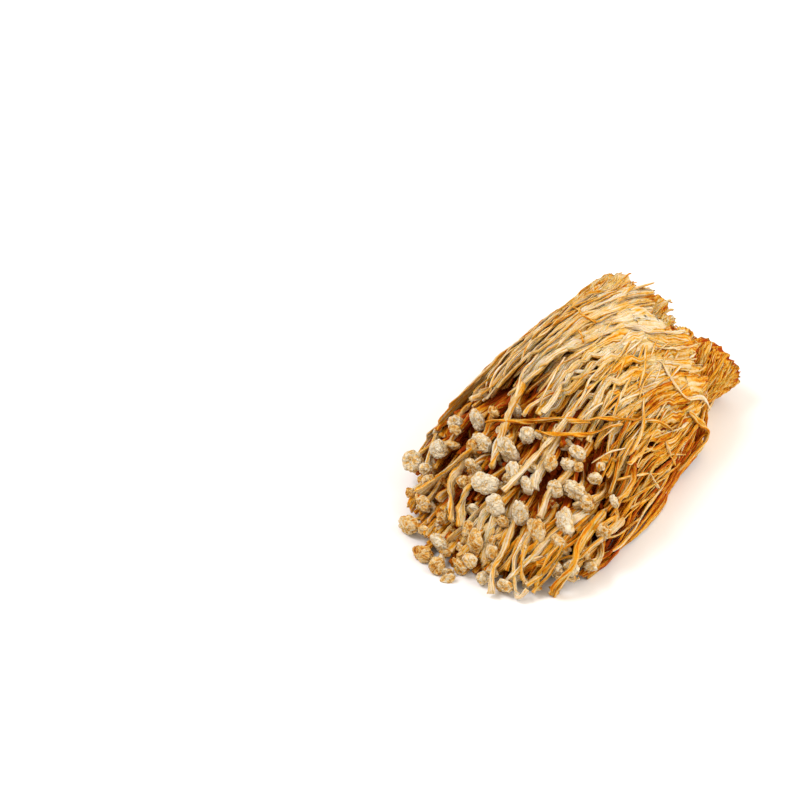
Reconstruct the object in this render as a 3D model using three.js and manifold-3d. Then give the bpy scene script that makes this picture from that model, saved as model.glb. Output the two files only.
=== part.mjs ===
// A dried enoki mushroom bunch, lying as it was laid down: one growth of slender stems, matted together
// at the root end (+Y), running side by side over an arched back to a sloping face of wrinkled caps (-Y).
// Millimetres, +Z up, origin on the surface under the middle of the bunch. It grew as one piece, so it is
// one solid: a middle with stems as ribs, three torn root lobes, and the stems and caps standing out of them.

import * as THREE from "three";
import { mergeVertices } from "three/addons/utils/BufferGeometryUtils.js";
import Module from "manifold-3d";

const { lerp, clamp, smoothstep } = THREE.MathUtils;
const wasm = await Module();
wasm.setup();

// ---- driving dimensions, mm ----

// The bunch's half section, at stations from the heads to the roots: y of the first, and their spacing.
const FIRST_STATION = -64;
const STATION_STEP = 16;
const HALF_WIDTH = [24, 28, 31.5, 32.5, 32, 31, 30, 27.5, 22.5];
const HEIGHT = [33, 34, 34, 35, 35, 34.5, 33, 30, 26];
const CENTRE_X = [-4, -4, -3.5, -4, -4, -4, -3.5, -3.5, -2.5];
const ARCH_POWER = 0.85; // under 1 makes the arch of the section fuller than an ellipse
const CENTRING = { x: 0.7, y: -4.4 }; // brings the origin under the middle of the bunch

// The face of heads: how far forward it reaches, how it leans back, and how its sides fall back.
const FRONT_Y = -62;
const FRONT_LEAN = 1.25;
const FRONT_BOW = 16;
const FRONT_HALF_WIDTH = 31;

// The matted middle, which fills the section and stops short of the heads.
const CORE_SHARE = 0.9; // its size, as a share of the section
const CORE_AXIS = 0.42; // the height of its axis, as a share of the section's
const CORE_SETBACK = 12; // from the face of heads
const CORE_ROOT_Y = 50;
const CORE_ROOT_WAVE = 3;
const CORE_RIBS = 28; // stems that show as ribs, all round
const CORE_RINGS = 7;
const RIB_HEIGHT = 1.6;
const RIB_WANDER = 0.035; // how far a rib wanders round the section, in radians

// Its front, from the edge inwards: each ring's size, and how far forward of the edge it stands.
const FRONT_EDGE = { size: 1, forward: 0 };
const FRONT_RINGS = [
  { size: 0.88, forward: 2.5 },
  { size: 0.55, forward: 3.5 },
  { size: 0.2, forward: 3.5 },
];
const FRONT_RELIEF = 2.5;

// The underside: flattened by the surface in the middle, and lifting from there to the ends and sides.
const UNDERSIDE = 0.3; // its share of the ring of vertices
const BASE_HALF_LENGTH = 44;
const BASE_LIFT_END = 3.2; // by that half length
const BASE_LIFT_SIDE = 1.5;
const BASE_SINK = 0.6; // how much the surface flattens
const BASE_SHARE = 0.25; // the share of its half width that has no ribs

// Torn lobes of matted stem bases: where each is centred, its half width, its heights and its two ends.
const ROOT_LOBES = [
  { x: -16, halfWidth: 14, low: 3, high: 28, front: 34, back: 66, turn: -0.1 },
  { x: -1, halfWidth: 12, low: 2, high: 25, front: 34, back: 56, turn: -0.1 },
  { x: 12, halfWidth: 11, low: 0.8, high: 20, front: 34, back: 58, turn: -0.12 },
];
const LOBE_SIDES = 16;
const LOBE_RINGS = 3;
const LOBE_NECK = 0.86; // the size of the sunken end, as a share of the torn end's
const LOBE_RIDGE = 0.15;
const LOBE_TEAR = 3; // how unevenly the edge is torn
const LOBE_HOLLOW = 3;
const LOBE_DROP = 1.5; // how far the torn end sags
const LOBE_FLATTEN = 0.2;

const STEM_WIDTH = 1.9;
const STEM_THICKNESS = 1.4;
const STEM_POINTS = 9;
const STEM_FEET = { front: 40, spread: 10 }; // where along y the stems start
const STEM_WAVE = { across: 0.9, up: 0.6 };
const STEM_SWING = 7; // how far apart the free tips are drawn sideways
const STEM_DROOP = 3; // how far the free tips hang, and by as much as a third more again
const FREE_FROM = 0.72; // the share of its length from which a stem is free
const FRUITING_STEMS = 38; // inside the bunch, with only their free ends standing out
const FRUITING_STEPS = 4;
const FRUITING_DEPTH = 10; // how far their cut feet are sunk in the middle
const HEAD_SCATTER = 7; // how unevenly far forward the heads reach
const SURFACE_STEMS = 24; // over the back and flanks
const SURFACE_STEPS = 6;
const SURFACE_SINK = 0.14; // how deep their feet are sunk, as a share of the section
const SURFACE_LATE = { least: 3, spread: 14 }; // how far behind the face of heads they end

const CAP_SMALL = 2.4; // radii
const CAP_LARGE = 4.2;
const CAP_TILT = 0.7; // how far a cap leans off its stem
const CAP_LONG = 0.35; // how much longer than wide it can be
const CAP_DOME = 0.85; // its height over its radius, in front
const CAP_BACK = 0.55; // and behind
const CAP_SIDES = 6;
const CAP_RINGS = 3;
const CAPPED_SURFACE_STEM = 3; // one surface stem in so many still has its cap
const NESTLED_CAPS = 32; // caps whose stems are hidden, packed against the middle's front
const NESTLED_DEPTH = { least: 5.5, spread: 2 }; // how far behind the face of heads they sit

// ---- seeded draws ----

const TURN = 2 * Math.PI;
const SEED = 11;
const GOLDEN = 0.381966; // of a turn, the step of an evenly filled spiral
const ROUND = { step: 0.7548776662, first: 0.5 }; // two steps that together fill a square evenly
const OUTWARD = { step: 0.569840291, first: 0.25 };

/** The fraction of a number above its floor. */
const fraction = (x) => x - Math.floor(x);

/** A repeatable draw from 0 to 1 for piece i, one for each use k. */
const draw = (i, k) => fraction(Math.sin(i * 127.1 + k * 311.7 + SEED) * 43758.5453);

/** The i-th of values spread evenly from 0 to 1. */
const scatter = (i, { step, first }) => fraction(first + i * step);

/** 0 below 0, 1 above 1, and a smooth rise between. */
const ease = (f) => smoothstep(f, 0, 1);

// ---- the bunch's outer form ----

/** A value from a table of stations, smooth along y. */
function along(table, y) {
  const last = table.length - 1;
  const t = clamp((y - FIRST_STATION) / STATION_STEP, 0, last);
  const k = Math.min(Math.floor(t), last - 1);
  const f = t - k;
  const [a, b, c, d] = [table[Math.max(k - 1, 0)], table[k], table[k + 1], table[Math.min(k + 2, last)]];
  return 0.5 * (2 * b + (c - a) * f + (2 * a - 5 * b + 4 * c - d) * f * f + (3 * b - a - 3 * c + d) * f ** 3);
}

/** The point of the arched section at y: angle 0 is the right foot and PI the left, rho 1 is its outside. */
function inSection(y, angle, rho) {
  const x = along(CENTRE_X, y) + along(HALF_WIDTH, y) * rho * Math.cos(angle);
  const z = along(HEIGHT, y) * rho * Math.abs(Math.sin(angle)) ** ARCH_POWER;
  return new THREE.Vector3(x, y, z);
}

/** The point of the middle's axis at y. */
const onAxis = (y) => new THREE.Vector3(along(CENTRE_X, y), y, CORE_AXIS * along(HEIGHT, y));

/** How far forward the face of heads is, at x across and z up. */
const frontAt = (x, z) => FRONT_Y + FRONT_LEAN * z + FRONT_BOW * (x / FRONT_HALF_WIDTH) ** 2;

/** The height of the underside at y, across it from -1 on the left to 1 on the right. */
const lift = (y, across) =>
  BASE_LIFT_END * (y / BASE_HALF_LENGTH) ** 2 + BASE_LIFT_SIDE * across ** 2 - BASE_SINK;

// ---- solids ----

/** A closed geometry as a solid. */
function solid(geometry) {
  geometry.deleteAttribute("normal");
  geometry.deleteAttribute("uv");
  const merged = mergeVertices(geometry, 1e-4);
  const mesh = { numProp: 3, vertProperties: merged.attributes.position.array };
  return new wasm.Manifold(new wasm.Mesh({ ...mesh, triVerts: new Uint32Array(merged.index.array) }));
}

/** A solid as a geometry. */
function geometryOf(made) {
  const mesh = made.getMesh();
  const geometry = new THREE.BufferGeometry();
  geometry.setAttribute("position", new THREE.BufferAttribute(mesh.vertProperties, 3));
  geometry.setIndex(new THREE.BufferAttribute(mesh.triVerts, 1));
  geometry.computeVertexNormals();
  return geometry;
}

/** Moves each vertex of a geometry to where place() puts it. */
function reshape(geometry, place) {
  const position = geometry.attributes.position;
  const point = new THREE.Vector3();
  for (let i = 0; i < position.count; i++) {
    const moved = place(point.fromBufferAttribute(position, i));
    position.setXYZ(i, moved.x, moved.y, moved.z);
  }
  return geometry;
}

/** A closed rod of sides and rings: place() takes a vertex's turn, its radius, its ring and its side. */
function rod(sides, rings, place) {
  const placed = reshape(new THREE.CylinderGeometry(1, 1, 1, sides, rings), (p) => {
    const turn = fraction(Math.atan2(p.z, p.x) / TURN + 1);
    return place(turn, Math.hypot(p.x, p.z), rings * (0.5 - p.y), Math.round(turn * sides) % sides);
  });
  return solid(placed);
}

// ---- the matted middle ----

/** The middle of the bunch: ribbed along its length, with a rounded, uneven front. */
function middle() {
  return rod(2 * CORE_RIBS, CORE_RINGS + FRONT_RINGS.length, (turn, radius, ring, side) => {
    const share = Math.min(1, ring / CORE_RINGS); // 0 at the roots, 1 at the edge of the front
    const step = FRONT_RINGS[Math.round(ring) - CORE_RINGS - 1] ?? FRONT_EDGE;
    const size = step.size * radius;
    const rim = (y) => middleRim(y, turn, share, RIB_HEIGHT * (side % 2));
    const relief = ring > CORE_RINGS ? FRONT_RELIEF * draw(side, 60 + ring) : 0;
    const face = onAxis(FRONT_Y).lerp(rim(FRONT_Y), size);
    const frontY = frontAt(face.x, face.z) + CORE_SETBACK - step.forward - relief;
    const rootY = CORE_ROOT_Y + CORE_ROOT_WAVE * Math.sin(4 * TURN * turn) * radius;
    const y = lerp(rootY, frontY, share);
    return onAxis(y).lerp(rim(y), size);
  });
}

/** The middle's outline at y, from a turn of 0 at the right foot: an arch of ribs, then the underside. */
function middleRim(y, turn, share, valley) {
  const angle = (Math.PI * turn) / (1 - UNDERSIDE);
  if (angle > Math.PI) {
    const across = (2 * (turn - 1 + UNDERSIDE)) / UNDERSIDE - 1;
    const x = along(CENTRE_X, y) + along(HALF_WIDTH, y) * CORE_SHARE * across;
    const ribbed = ease((Math.abs(across) - BASE_SHARE) / BASE_SHARE);
    return new THREE.Vector3(x, y, lift(y, across) + valley * ribbed);
  }
  const wander = RIB_WANDER * Math.sin(9 * share + 4 * angle) * Math.sin(angle);
  const rim = inSection(y, angle + wander, CORE_SHARE - valley / along(HEIGHT, y));
  rim.z += lift(y, 1) * (1 - Math.sin(angle));
  return rim;
}

// ---- the root lobes ----

/** One lobe: a flattened rod of fibres, ridged along its length, with a ragged, hollowed back edge. */
function rootLobe({ x, halfWidth, low, high, front, back, turn }, index) {
  return rod(LOBE_SIDES, LOBE_RINGS, (around, radius, ring, side) => {
    const angle = TURN * around;
    const share = 1 - ring / LOBE_RINGS; // 0 at the sunken end, 1 at the torn edge
    const torn = radius > 0 ? LOBE_TEAR * (2 * draw(side, 40 + index) - 1) : -LOBE_HOLLOW;
    const y = lerp(front, back, share) + torn * share;
    const size = radius * (1 - LOBE_RIDGE * (side % 2)) * lerp(LOBE_NECK, 1, ease(share));
    const tall = ((high - low) / 2) * (1 - LOBE_FLATTEN * share);
    const across = halfWidth * size * Math.cos(angle) - turn * (y - back);
    const up = (low + high) / 2 - LOBE_DROP * share + tall * size * Math.sin(angle);
    return new THREE.Vector3(x + across, y, up);
  });
}

// ---- stems ----

/** The points that stem i follows from its foot to its tip, inside the bunch or over its surface. */
function stemPoints(i, onSurface) {
  const pull = (k) => draw(onSurface ? i + 500 : i, k);
  const angle = Math.PI * lerp(0.03, 0.97, scatter(i, ROUND));
  const rho = onSurface ? lerp(0.98, 1.03, pull(5)) : Math.sqrt(lerp(0.03, 1, scatter(i, OUTWARD)));
  const late = onSurface
    ? SURFACE_LATE.least + SURFACE_LATE.spread * pull(1) ** 2
    : HEAD_SCATTER * (pull(1) - 0.5);
  const head = inSection(-40, angle, rho);
  const tipY = frontAt(head.x, head.z) + late;
  const footY = STEM_FEET.front + STEM_FEET.spread * pull(2);
  const footAngle = angle + (pull(3) - 0.5) * (onSurface ? 0.12 : 0.24);
  const footRho = onSurface ? rho - SURFACE_SINK : rho * lerp(0.75, 0.95, pull(4));
  const start = onSurface ? 0 : Math.max(0, 1 - (CORE_SETBACK + FRUITING_DEPTH) / (footY - tipY));
  const swing = STEM_SWING * (pull(8) - 0.5);
  const droop = STEM_DROOP + 4 * pull(9);
  const hanging = head.z > 8 ? 1 : 0.3; // the lowest stems lie on the surface
  return Array.from({ length: STEM_POINTS }, (_, n) => {
    const f = lerp(start, 1, n / (STEM_POINTS - 1));
    const turned = lerp(footAngle, angle, ease(f));
    const point = inSection(lerp(footY, tipY, f), turned, lerp(footRho, rho, ease(onSurface ? 4 * f : f)));
    const free = ease((f - FREE_FROM) / (1 - FREE_FROM));
    const wave = 0.4 + f;
    point.x += STEM_WAVE.across * wave * Math.sin(TURN * (2.2 * f + pull(6))) + swing * free;
    point.z += STEM_WAVE.up * wave * Math.sin(TURN * (1.8 * f + pull(7))) - droop * hanging * free;
    point.z = Math.max(point.z, STEM_THICKNESS / 2);
    return point;
  });
}

const STEM_SECTION = new THREE.Shape([
  new THREE.Vector2(-STEM_WIDTH / 2, -STEM_THICKNESS / 2),
  new THREE.Vector2(STEM_WIDTH / 2, -STEM_THICKNESS / 2),
  new THREE.Vector2(0, STEM_THICKNESS / 2),
]);

/** A three-sided stem along its points. */
function stem(points, steps) {
  const extrudePath = new THREE.CatmullRomCurve3(points);
  return solid(new THREE.ExtrudeGeometry(STEM_SECTION, { steps, bevelEnabled: false, extrudePath }));
}

// ---- caps ----

/** A wrinkled cap at a stem's tip, domed the way the stem is heading and flatter behind. */
function cap(tip, heading, i, radius) {
  const tilt = new THREE.Vector3(draw(i, 21) - 0.5, 0, draw(i, 22) - 0.5).multiplyScalar(CAP_TILT);
  const up = heading.clone().normalize().add(tilt).normalize();
  const turned = new THREE.Quaternion().setFromUnitVectors(new THREE.Vector3(0, 1, 0), up);
  const long = 1 + CAP_LONG * draw(i, 23);
  const ball = reshape(new THREE.SphereGeometry(radius, CAP_SIDES, CAP_RINGS), (p) => {
    const around = Math.atan2(p.z, p.x);
    const fold = 1 + 0.1 * Math.sin(3 * around + TURN * draw(i, 24)) + 0.07 * Math.sin(5 * around + i);
    p.set(p.x * fold * long, p.y * (p.y < 0 ? CAP_BACK : CAP_DOME), (p.z * fold) / long);
    return p.applyQuaternion(turned).add(tip);
  });
  return solid(ball);
}

/** A cap at the end of a stem's points. */
function capOn(points, i, radius) {
  const tip = points.at(-1);
  return cap(tip, tip.clone().sub(points.at(-2)), i, radius);
}

/** The k-th of the caps packed against the middle's front, on a spiral that fills it evenly. */
function nestledCap(k) {
  const out = Math.sqrt((k + 0.5) / NESTLED_CAPS);
  const tip = onAxis(FRONT_Y).lerp(middleRim(FRONT_Y, fraction(k * GOLDEN), 1, 0), out);
  tip.y = frontAt(tip.x, tip.z) + NESTLED_DEPTH.least + NESTLED_DEPTH.spread * draw(k, 51);
  tip.z = Math.max(tip.z, CAP_SMALL / 2);
  return cap(tip, new THREE.Vector3(0, -1, 0.4), k + 900, lerp(CAP_SMALL, CAP_LARGE, draw(k, 52)));
}

// ---- the bunch ----

const grown = [middle(), ...ROOT_LOBES.map(rootLobe)];
for (let i = 0; i < SURFACE_STEMS; i++) {
  const points = stemPoints(i, true);
  grown.push(stem(points, SURFACE_STEPS));
  if (i % CAPPED_SURFACE_STEM === 0) grown.push(capOn(points, i + 500, CAP_SMALL + 0.6 * draw(i, 25)));
}
for (let i = 0; i < FRUITING_STEMS; i++) {
  const points = stemPoints(i, false);
  grown.push(stem(points, FRUITING_STEPS), capOn(points, i, lerp(CAP_SMALL, CAP_LARGE, draw(i, 20))));
}
for (let k = 0; k < NESTLED_CAPS; k++) grown.push(nestledCap(k));

// The surface that the bunch lies on flattens its underside. The largest body of the result is the bunch's
// outside: the others are the insides of pockets that fusing closed, which so get filled.
const laidOn = new THREE.BoxGeometry(400, 400, 60).translate(0, 0, -30);
const bodies = wasm.Manifold.union(grown).subtract(solid(laidOn)).decompose();
const outside = bodies.reduce((largest, body) => (body.volume() > largest.volume() ? body : largest));

const finish = new THREE.MeshStandardMaterial({ color: 0xc78f45, roughness: 0.75, metalness: 0 });
const bunch = new THREE.Mesh(geometryOf(outside), finish);
bunch.name = "enoki_bunch";
bunch.position.set(CENTRING.x, CENTRING.y, 0);

export default new THREE.Group().add(bunch);
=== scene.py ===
"""A dried golden enoki mushroom bunch, lying on its side: the looks.

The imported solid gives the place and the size. Everything that shows is modelled here round it, from the
same driving dimensions: stems over the back and flanks, stems inside the bunch that end in wrinkled caps,
torn root lobes, matted fibres where the stems cling together, and thin loose strands.

Lengths are millimetres, and Mesher turns them to metres. +Y is the way to the roots, the caps are at -Y, and
+Z is up.
"""

from __future__ import annotations

import itertools
import logging
import math
from dataclasses import dataclass, field
from enum import Enum

import bpy
import numpy as np
from mathutils import Matrix, Vector

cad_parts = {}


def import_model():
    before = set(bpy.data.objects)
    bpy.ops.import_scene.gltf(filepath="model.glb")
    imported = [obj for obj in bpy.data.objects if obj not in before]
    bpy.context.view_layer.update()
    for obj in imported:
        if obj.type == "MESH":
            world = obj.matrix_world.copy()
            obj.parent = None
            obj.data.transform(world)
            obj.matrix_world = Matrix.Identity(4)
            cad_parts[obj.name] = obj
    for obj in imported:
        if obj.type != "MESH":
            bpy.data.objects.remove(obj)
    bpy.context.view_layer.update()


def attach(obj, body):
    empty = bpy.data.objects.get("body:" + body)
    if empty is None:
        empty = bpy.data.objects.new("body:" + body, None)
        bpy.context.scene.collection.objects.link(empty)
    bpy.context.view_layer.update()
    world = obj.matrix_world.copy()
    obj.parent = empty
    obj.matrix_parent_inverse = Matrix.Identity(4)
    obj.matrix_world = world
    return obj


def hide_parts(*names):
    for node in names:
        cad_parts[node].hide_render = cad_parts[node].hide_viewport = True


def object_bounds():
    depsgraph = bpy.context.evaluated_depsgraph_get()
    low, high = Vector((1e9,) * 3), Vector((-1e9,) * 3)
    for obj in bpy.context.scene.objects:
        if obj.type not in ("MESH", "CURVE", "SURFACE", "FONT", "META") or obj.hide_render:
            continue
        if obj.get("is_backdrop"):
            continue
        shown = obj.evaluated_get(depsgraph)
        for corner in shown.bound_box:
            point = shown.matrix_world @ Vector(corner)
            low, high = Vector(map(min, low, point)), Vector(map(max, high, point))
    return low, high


Sizes = tuple[float, float, float]
Stops = tuple[tuple[float, str], ...]
LOG = logging.getLogger("enoki_bunch")
METRES = 0.001
TURN = 2.0 * math.pi
SEED = 11.0
NODE = "enoki_bunch"
BODY = "root"
# A sine times this has a fraction that looks random.
SCATTER = 43758.5453
# Multiples of these two, modulo 1, fill a square evenly: they are powers of the plastic number.
EVEN_ROUND = 0.7548776662
EVEN_OUT = 0.569840291
# The station at which a stem's place in the section is turned to a place in the face.
FACE_STATION = -40.0
# How many millimetres round the section one radian is, on average.
ARC_MM = 33.0
# How far the lowest points stay above the floor.
FLOOR_GAP = 0.03


# ---------------------------------------------------------------- draws and noise


def draw(index: np.ndarray | float, use: float) -> np.ndarray:
    """Repeatable draws from 0 to 1 for pieces by index: the fraction of a large multiple of a sine.

    Args:
        index: whole numbers of the pieces.
        use: a number for each use of a draw.

    Returns:
        An array like index.
    """
    value = np.sin(np.asarray(index, float) * 127.1 + use * 311.7 + SEED) * SCATTER
    return value - np.floor(value)


def between(low: float, high: float, share: np.ndarray) -> np.ndarray:
    """The value a share of the way from low to high."""
    return low + (high - low) * share


def ease(share: np.ndarray) -> np.ndarray:
    """A smooth rise from 0 at 0 to 1 at 1: 3t² - 2t³, level outside."""
    t = np.clip(share, 0.0, 1.0)
    return t * t * (3.0 - 2.0 * t)


def noise(seed: float, *axes: np.ndarray) -> np.ndarray:
    """Smooth noise from -1 to 1: random values at whole numbers, blended between them by 3t² - 2t³.

    Args:
        seed: a number for each use.
        axes: one to three coordinate arrays that broadcast together.

    Returns:
        An array of their common shape.
    """
    axes = np.broadcast_arrays(*axes)
    floors = [np.floor(a) for a in axes]
    shares = [ease(a - f) for a, f in zip(axes, floors)]
    total = np.zeros(axes[0].shape)
    for corner in itertools.product((0, 1), repeat=len(axes)):
        weight = np.ones(axes[0].shape)
        key = np.full(axes[0].shape, seed * 0.731)
        for step, floor, share, factor in zip(corner, floors, shares, (12.9898, 78.233, 37.719)):
            weight = weight * (share if step else 1.0 - share)
            key = key + (floor + step) * factor
        value = np.sin(key) * SCATTER
        total += weight * (2.0 * (value - np.floor(value)) - 1.0)
    return total


def uneven(amount: float, seed: float, *axes: np.ndarray) -> np.ndarray:
    """A factor that wanders by up to amount to either side of 1."""
    return 1.0 + amount * noise(seed, *axes)


def along(rings: int) -> np.ndarray:
    """The shares of the way along that rings have, from 0 to 1, as one row."""
    return np.linspace(0.0, 1.0, rings)[None]


def packed_ends(seed: float, across: np.ndarray, up: np.ndarray, reach: float = 0.7) -> np.ndarray:
    """Domes packed side by side, like the ends of stems: 1 - (distance to the nearest centre / reach)².

    Args:
        seed: a number for each use.
        across, up: coordinates, in which each unit square has one random centre.
        reach: how far a dome reaches from its centre.

    Returns:
        Heights from 0, in the gaps, to 1.
    """
    nearest = np.full(np.broadcast_shapes(across.shape, up.shape), np.inf)
    for step in itertools.product((-1, 0, 1), repeat=2):
        column, row = np.floor(across) + step[0], np.floor(up) + step[1]
        which = column * 57.0 + row * 131.0
        apart = np.hypot(column + draw(which, seed) - across, row + draw(which, seed + 1.0) - up)
        nearest = np.minimum(nearest, apart)
    return 1.0 - np.clip(nearest / reach, 0.0, 1.0) ** 2


def unit(vectors: np.ndarray) -> np.ndarray:
    """Vectors along the last axis, each divided by its length."""
    return vectors / np.maximum(np.linalg.norm(vectors, axis=-1, keepdims=True), 1e-9)


def joined(*parts: np.ndarray) -> np.ndarray:
    """Coordinates broadcast together and joined along a new last axis."""
    return np.stack(np.broadcast_arrays(*parts), -1)


def raised_to(points: np.ndarray, least: float) -> np.ndarray:
    """Points (..., 3), with those that lie lower than least brought up to it."""
    points[..., 2] = np.maximum(points[..., 2], least)
    return points


def closed(points: np.ndarray) -> np.ndarray:
    """Rings (n, rings, sides, 3) whose first and last are drawn together to their centres."""
    points[:, [0, -1]] = points[:, [0, -1]].mean(2, keepdims=True)
    return points


# ---------------------------------------------------------------- the bunch's outer form


@dataclass(frozen=True)
class BunchForm:
    """The bunch's outer form, by the driving dimensions of the solid, in millimetres.

    Attributes:
        first_station, station_step: where the table of sections starts along Y, and its step.
        half_width, height, centre_x: the section's half width, height and middle at each station.
        arch_power: the power of the sine in the arch, less than 1 for full shoulders.
        centring: what takes these dimensions' origin to the part's own.
        front_y, front_lean: where the face of heads meets the floor, and its slope backwards.
        front_bow, front_half_width: how far the face bows back at a place across.
        axis_height: the axis's height, as a share of the section's.
        foot_lift, foot_reach: how far the underside lifts lengthwise, at that distance from the middle.
        foot_round: how far it lifts sideways, at the edge.
    """

    first_station: float = -64.0
    station_step: float = 16.0
    half_width: tuple[float, ...] = (24, 28, 31.5, 32.5, 32, 31, 30, 27.5, 22.5)
    height: tuple[float, ...] = (33, 34, 34, 35, 35, 34.5, 33, 30, 26)
    centre_x: tuple[float, ...] = (-4, -4, -3.5, -4, -4, -4, -3.5, -3.5, -2.5)
    arch_power: float = 0.85
    centring: tuple[float, float, float] = (0.7, -4.4, 0.0)
    front_y: float = -62.0
    front_lean: float = 1.25
    front_bow: float = 16.0
    front_half_width: float = 31.0
    axis_height: float = 0.42
    foot_lift: float = 3.2
    foot_reach: float = 44.0
    foot_round: float = 1.5

    def along(self, table: tuple[float, ...], y: np.ndarray) -> np.ndarray:
        """A value from a table of stations, smooth along y (a uniform Catmull-Rom curve).

        Args:
            table: the value at each station.
            y: where it is asked for.

        Returns:
            An array like y.
        """
        values = np.asarray(table, float)
        last = len(values) - 1
        t = np.clip((np.asarray(y, float) - self.first_station) / self.station_step, 0, last)
        k = np.minimum(np.floor(t).astype(int), last - 1)
        f = t - k
        a, b = values[np.maximum(k - 1, 0)], values[k]
        c, d = values[k + 1], values[np.minimum(k + 2, last)]
        square = (2 * a - 5 * b + 4 * c - d) * f * f
        return 0.5 * (2 * b + (c - a) * f + square + (3 * b - a - 3 * c + d) * f**3)

    def in_section(self, y: np.ndarray, angle: np.ndarray, rho: np.ndarray) -> np.ndarray:
        """Points of the arched section: (half width rho cos a, height rho (sin a)^p) for the angle a.

        Args:
            y: where the section lies.
            angle: 0 at the right foot and pi at the left.
            rho: the share of the section's size, 1 on its outside.

        Returns:
            Points, with x, y and z along a last axis.
        """
        y, angle, rho = np.broadcast_arrays(y, angle, rho)
        x = self.along(self.centre_x, y) + self.along(self.half_width, y) * rho * np.cos(angle)
        rise = np.abs(np.sin(angle)) ** self.arch_power * np.sign(np.sin(angle))
        return np.stack([x, y, self.along(self.height, y) * rho * rise], -1)

    def held_on(self, points: np.ndarray, least: np.ndarray, most: np.ndarray) -> np.ndarray:
        """Points moved straight out or in until their share of the section's size is in its limits.

        The share k solves (1 - (x/k)²)^(p/2) = z/k for x and z as shares of the half width and the height,
        and is found by halving an interval. The section only grows with its share, so both are scaled alike.

        Args:
            points: places, (..., 3).
            least, most: the limits of the share.

        Returns:
            An array like points.
        """
        y = points[..., 1]
        centre, half, tall = (self.along(table, y) for table in (self.centre_x, self.half_width, self.height))
        x, z = (points[..., 0] - centre) / half, points[..., 2] / tall
        low, high = np.abs(x) + 1e-6, np.abs(x) + np.abs(z) + 1e-3
        for _ in range(24):
            k = (low + high) / 2
            outside = (1.0 - np.minimum(x / k, 1.0) ** 2) ** (self.arch_power / 2) < z / k
            low, high = np.where(outside, k, low), np.where(outside, high, k)
        scale = np.clip(k, least, most) / k
        return np.stack([centre + (points[..., 0] - centre) * scale, y, points[..., 2] * scale], -1)

    def axis(self, y: np.ndarray) -> np.ndarray:
        """Points of the bunch's own axis at y."""
        y = np.asarray(y, float)
        return np.stack([self.along(self.centre_x, y), y, self.axis_height * self.along(self.height, y)], -1)

    def front_at(self, x: np.ndarray, z: np.ndarray) -> np.ndarray:
        """How far forward the face of heads is, at x across and z up: a plane that leans back and bows."""
        return self.front_y + self.front_lean * z + self.front_bow * (x / self.front_half_width) ** 2

    def foot_at(self, y: np.ndarray, across: np.ndarray) -> np.ndarray:
        """How high the underside is, at y and at a share across of the half width: a shallow bowl."""
        return self.foot_lift * (y / self.foot_reach) ** 2 + self.foot_round * across**2


FORM = BunchForm()


# ---------------------------------------------------------------- meshes


@dataclass
class Mesher:
    """Gathers closed grids of points into one mesh, with a UV map in millimetres and tone attributes.

    Attributes:
        name: the piece's name.
        points, faces, corners, tones: the grids' points, quads, corner UVs and tones so far.
        count: how many points there are so far.
    """

    name: str
    points: list[np.ndarray] = field(default_factory=list)
    faces: list[np.ndarray] = field(default_factory=list)
    corners: list[np.ndarray] = field(default_factory=list)
    tones: dict[str, list[np.ndarray]] = field(default_factory=dict)
    count: int = 0

    def add(self, points: np.ndarray, faces: np.ndarray, uv: np.ndarray, **tones: np.ndarray) -> None:
        """Adds a grid.

        Args:
            points: its points, (n, 3).
            faces: its quads as numbers of its own points, (m, 4).
            uv: each quad corner's UV in millimetres, (m, 4, 2).
            tones: one number for each point, for each attribute that the finish reads.
        """
        self.points.append(points)
        self.faces.append(faces + self.count)
        self.corners.append(uv)
        for key, values in tones.items():
            self.tones.setdefault(key, []).append(np.broadcast_to(values, (len(points),)))
        self.count += len(points)

    def make(self, finish: bpy.types.Material) -> bpy.types.Object:
        """Makes the object from what was added.

        Args:
            finish: its material.

        Returns:
            The piece.
        """
        points = (np.concatenate(self.points) + np.array(FORM.centring)) * METRES
        faces = np.concatenate(self.faces)
        mesh = bpy.data.meshes.new(self.name)
        mesh.vertices.add(len(points))
        mesh.vertices.foreach_set("co", points.astype(np.float32).ravel())
        mesh.loops.add(faces.size)
        mesh.loops.foreach_set("vertex_index", faces.astype(np.int32).ravel())
        mesh.polygons.add(len(faces))
        mesh.polygons.foreach_set("loop_start", np.arange(0, faces.size, 4, dtype=np.int32))
        mesh.polygons.foreach_set("use_smooth", np.ones(len(faces), bool))
        mesh.update(calc_edges=True)
        layer = mesh.uv_layers.new(name="Fibre")
        layer.data.foreach_set("uv", np.concatenate(self.corners).astype(np.float32).ravel())
        for key, values in self.tones.items():
            tone = mesh.attributes.new(key, "FLOAT", "POINT")
            tone.data.foreach_set("value", np.concatenate(values).astype(np.float32))
        mesh.validate()
        mesh.materials.append(finish)
        made = bpy.data.objects.new(self.name, mesh)
        bpy.context.scene.collection.objects.link(made)
        LOG.info("%s: %d points, %d quads", self.name, len(points), len(faces))
        return made


def tube_faces(count: int, rings: int, sides: int) -> np.ndarray:
    """Quads of tubes that are closed round and open at the ends.

    Args:
        count: how many tubes.
        rings, sides: points along and round each.

    Returns:
        Numbers of points, (count * (rings - 1) * sides, 4).
    """
    tube, ring, side = np.meshgrid(np.arange(count), np.arange(rings - 1), np.arange(sides), indexing="ij")
    here = (tube * rings + ring) * sides
    nearer, further = here + side, here + (side + 1) % sides
    return np.stack([nearer, further, further + sides, nearer + sides], -1).reshape(-1, 4)


def corner_uv(uv: np.ndarray) -> np.ndarray:
    """UV of each quad's four corners, from a grid of (n, rings, sides + 1, 2) values."""
    return np.stack([uv[:, :-1, :-1], uv[:, :-1, 1:], uv[:, 1:, 1:], uv[:, 1:, :-1]], -2).reshape(-1, 4, 2)


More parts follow.
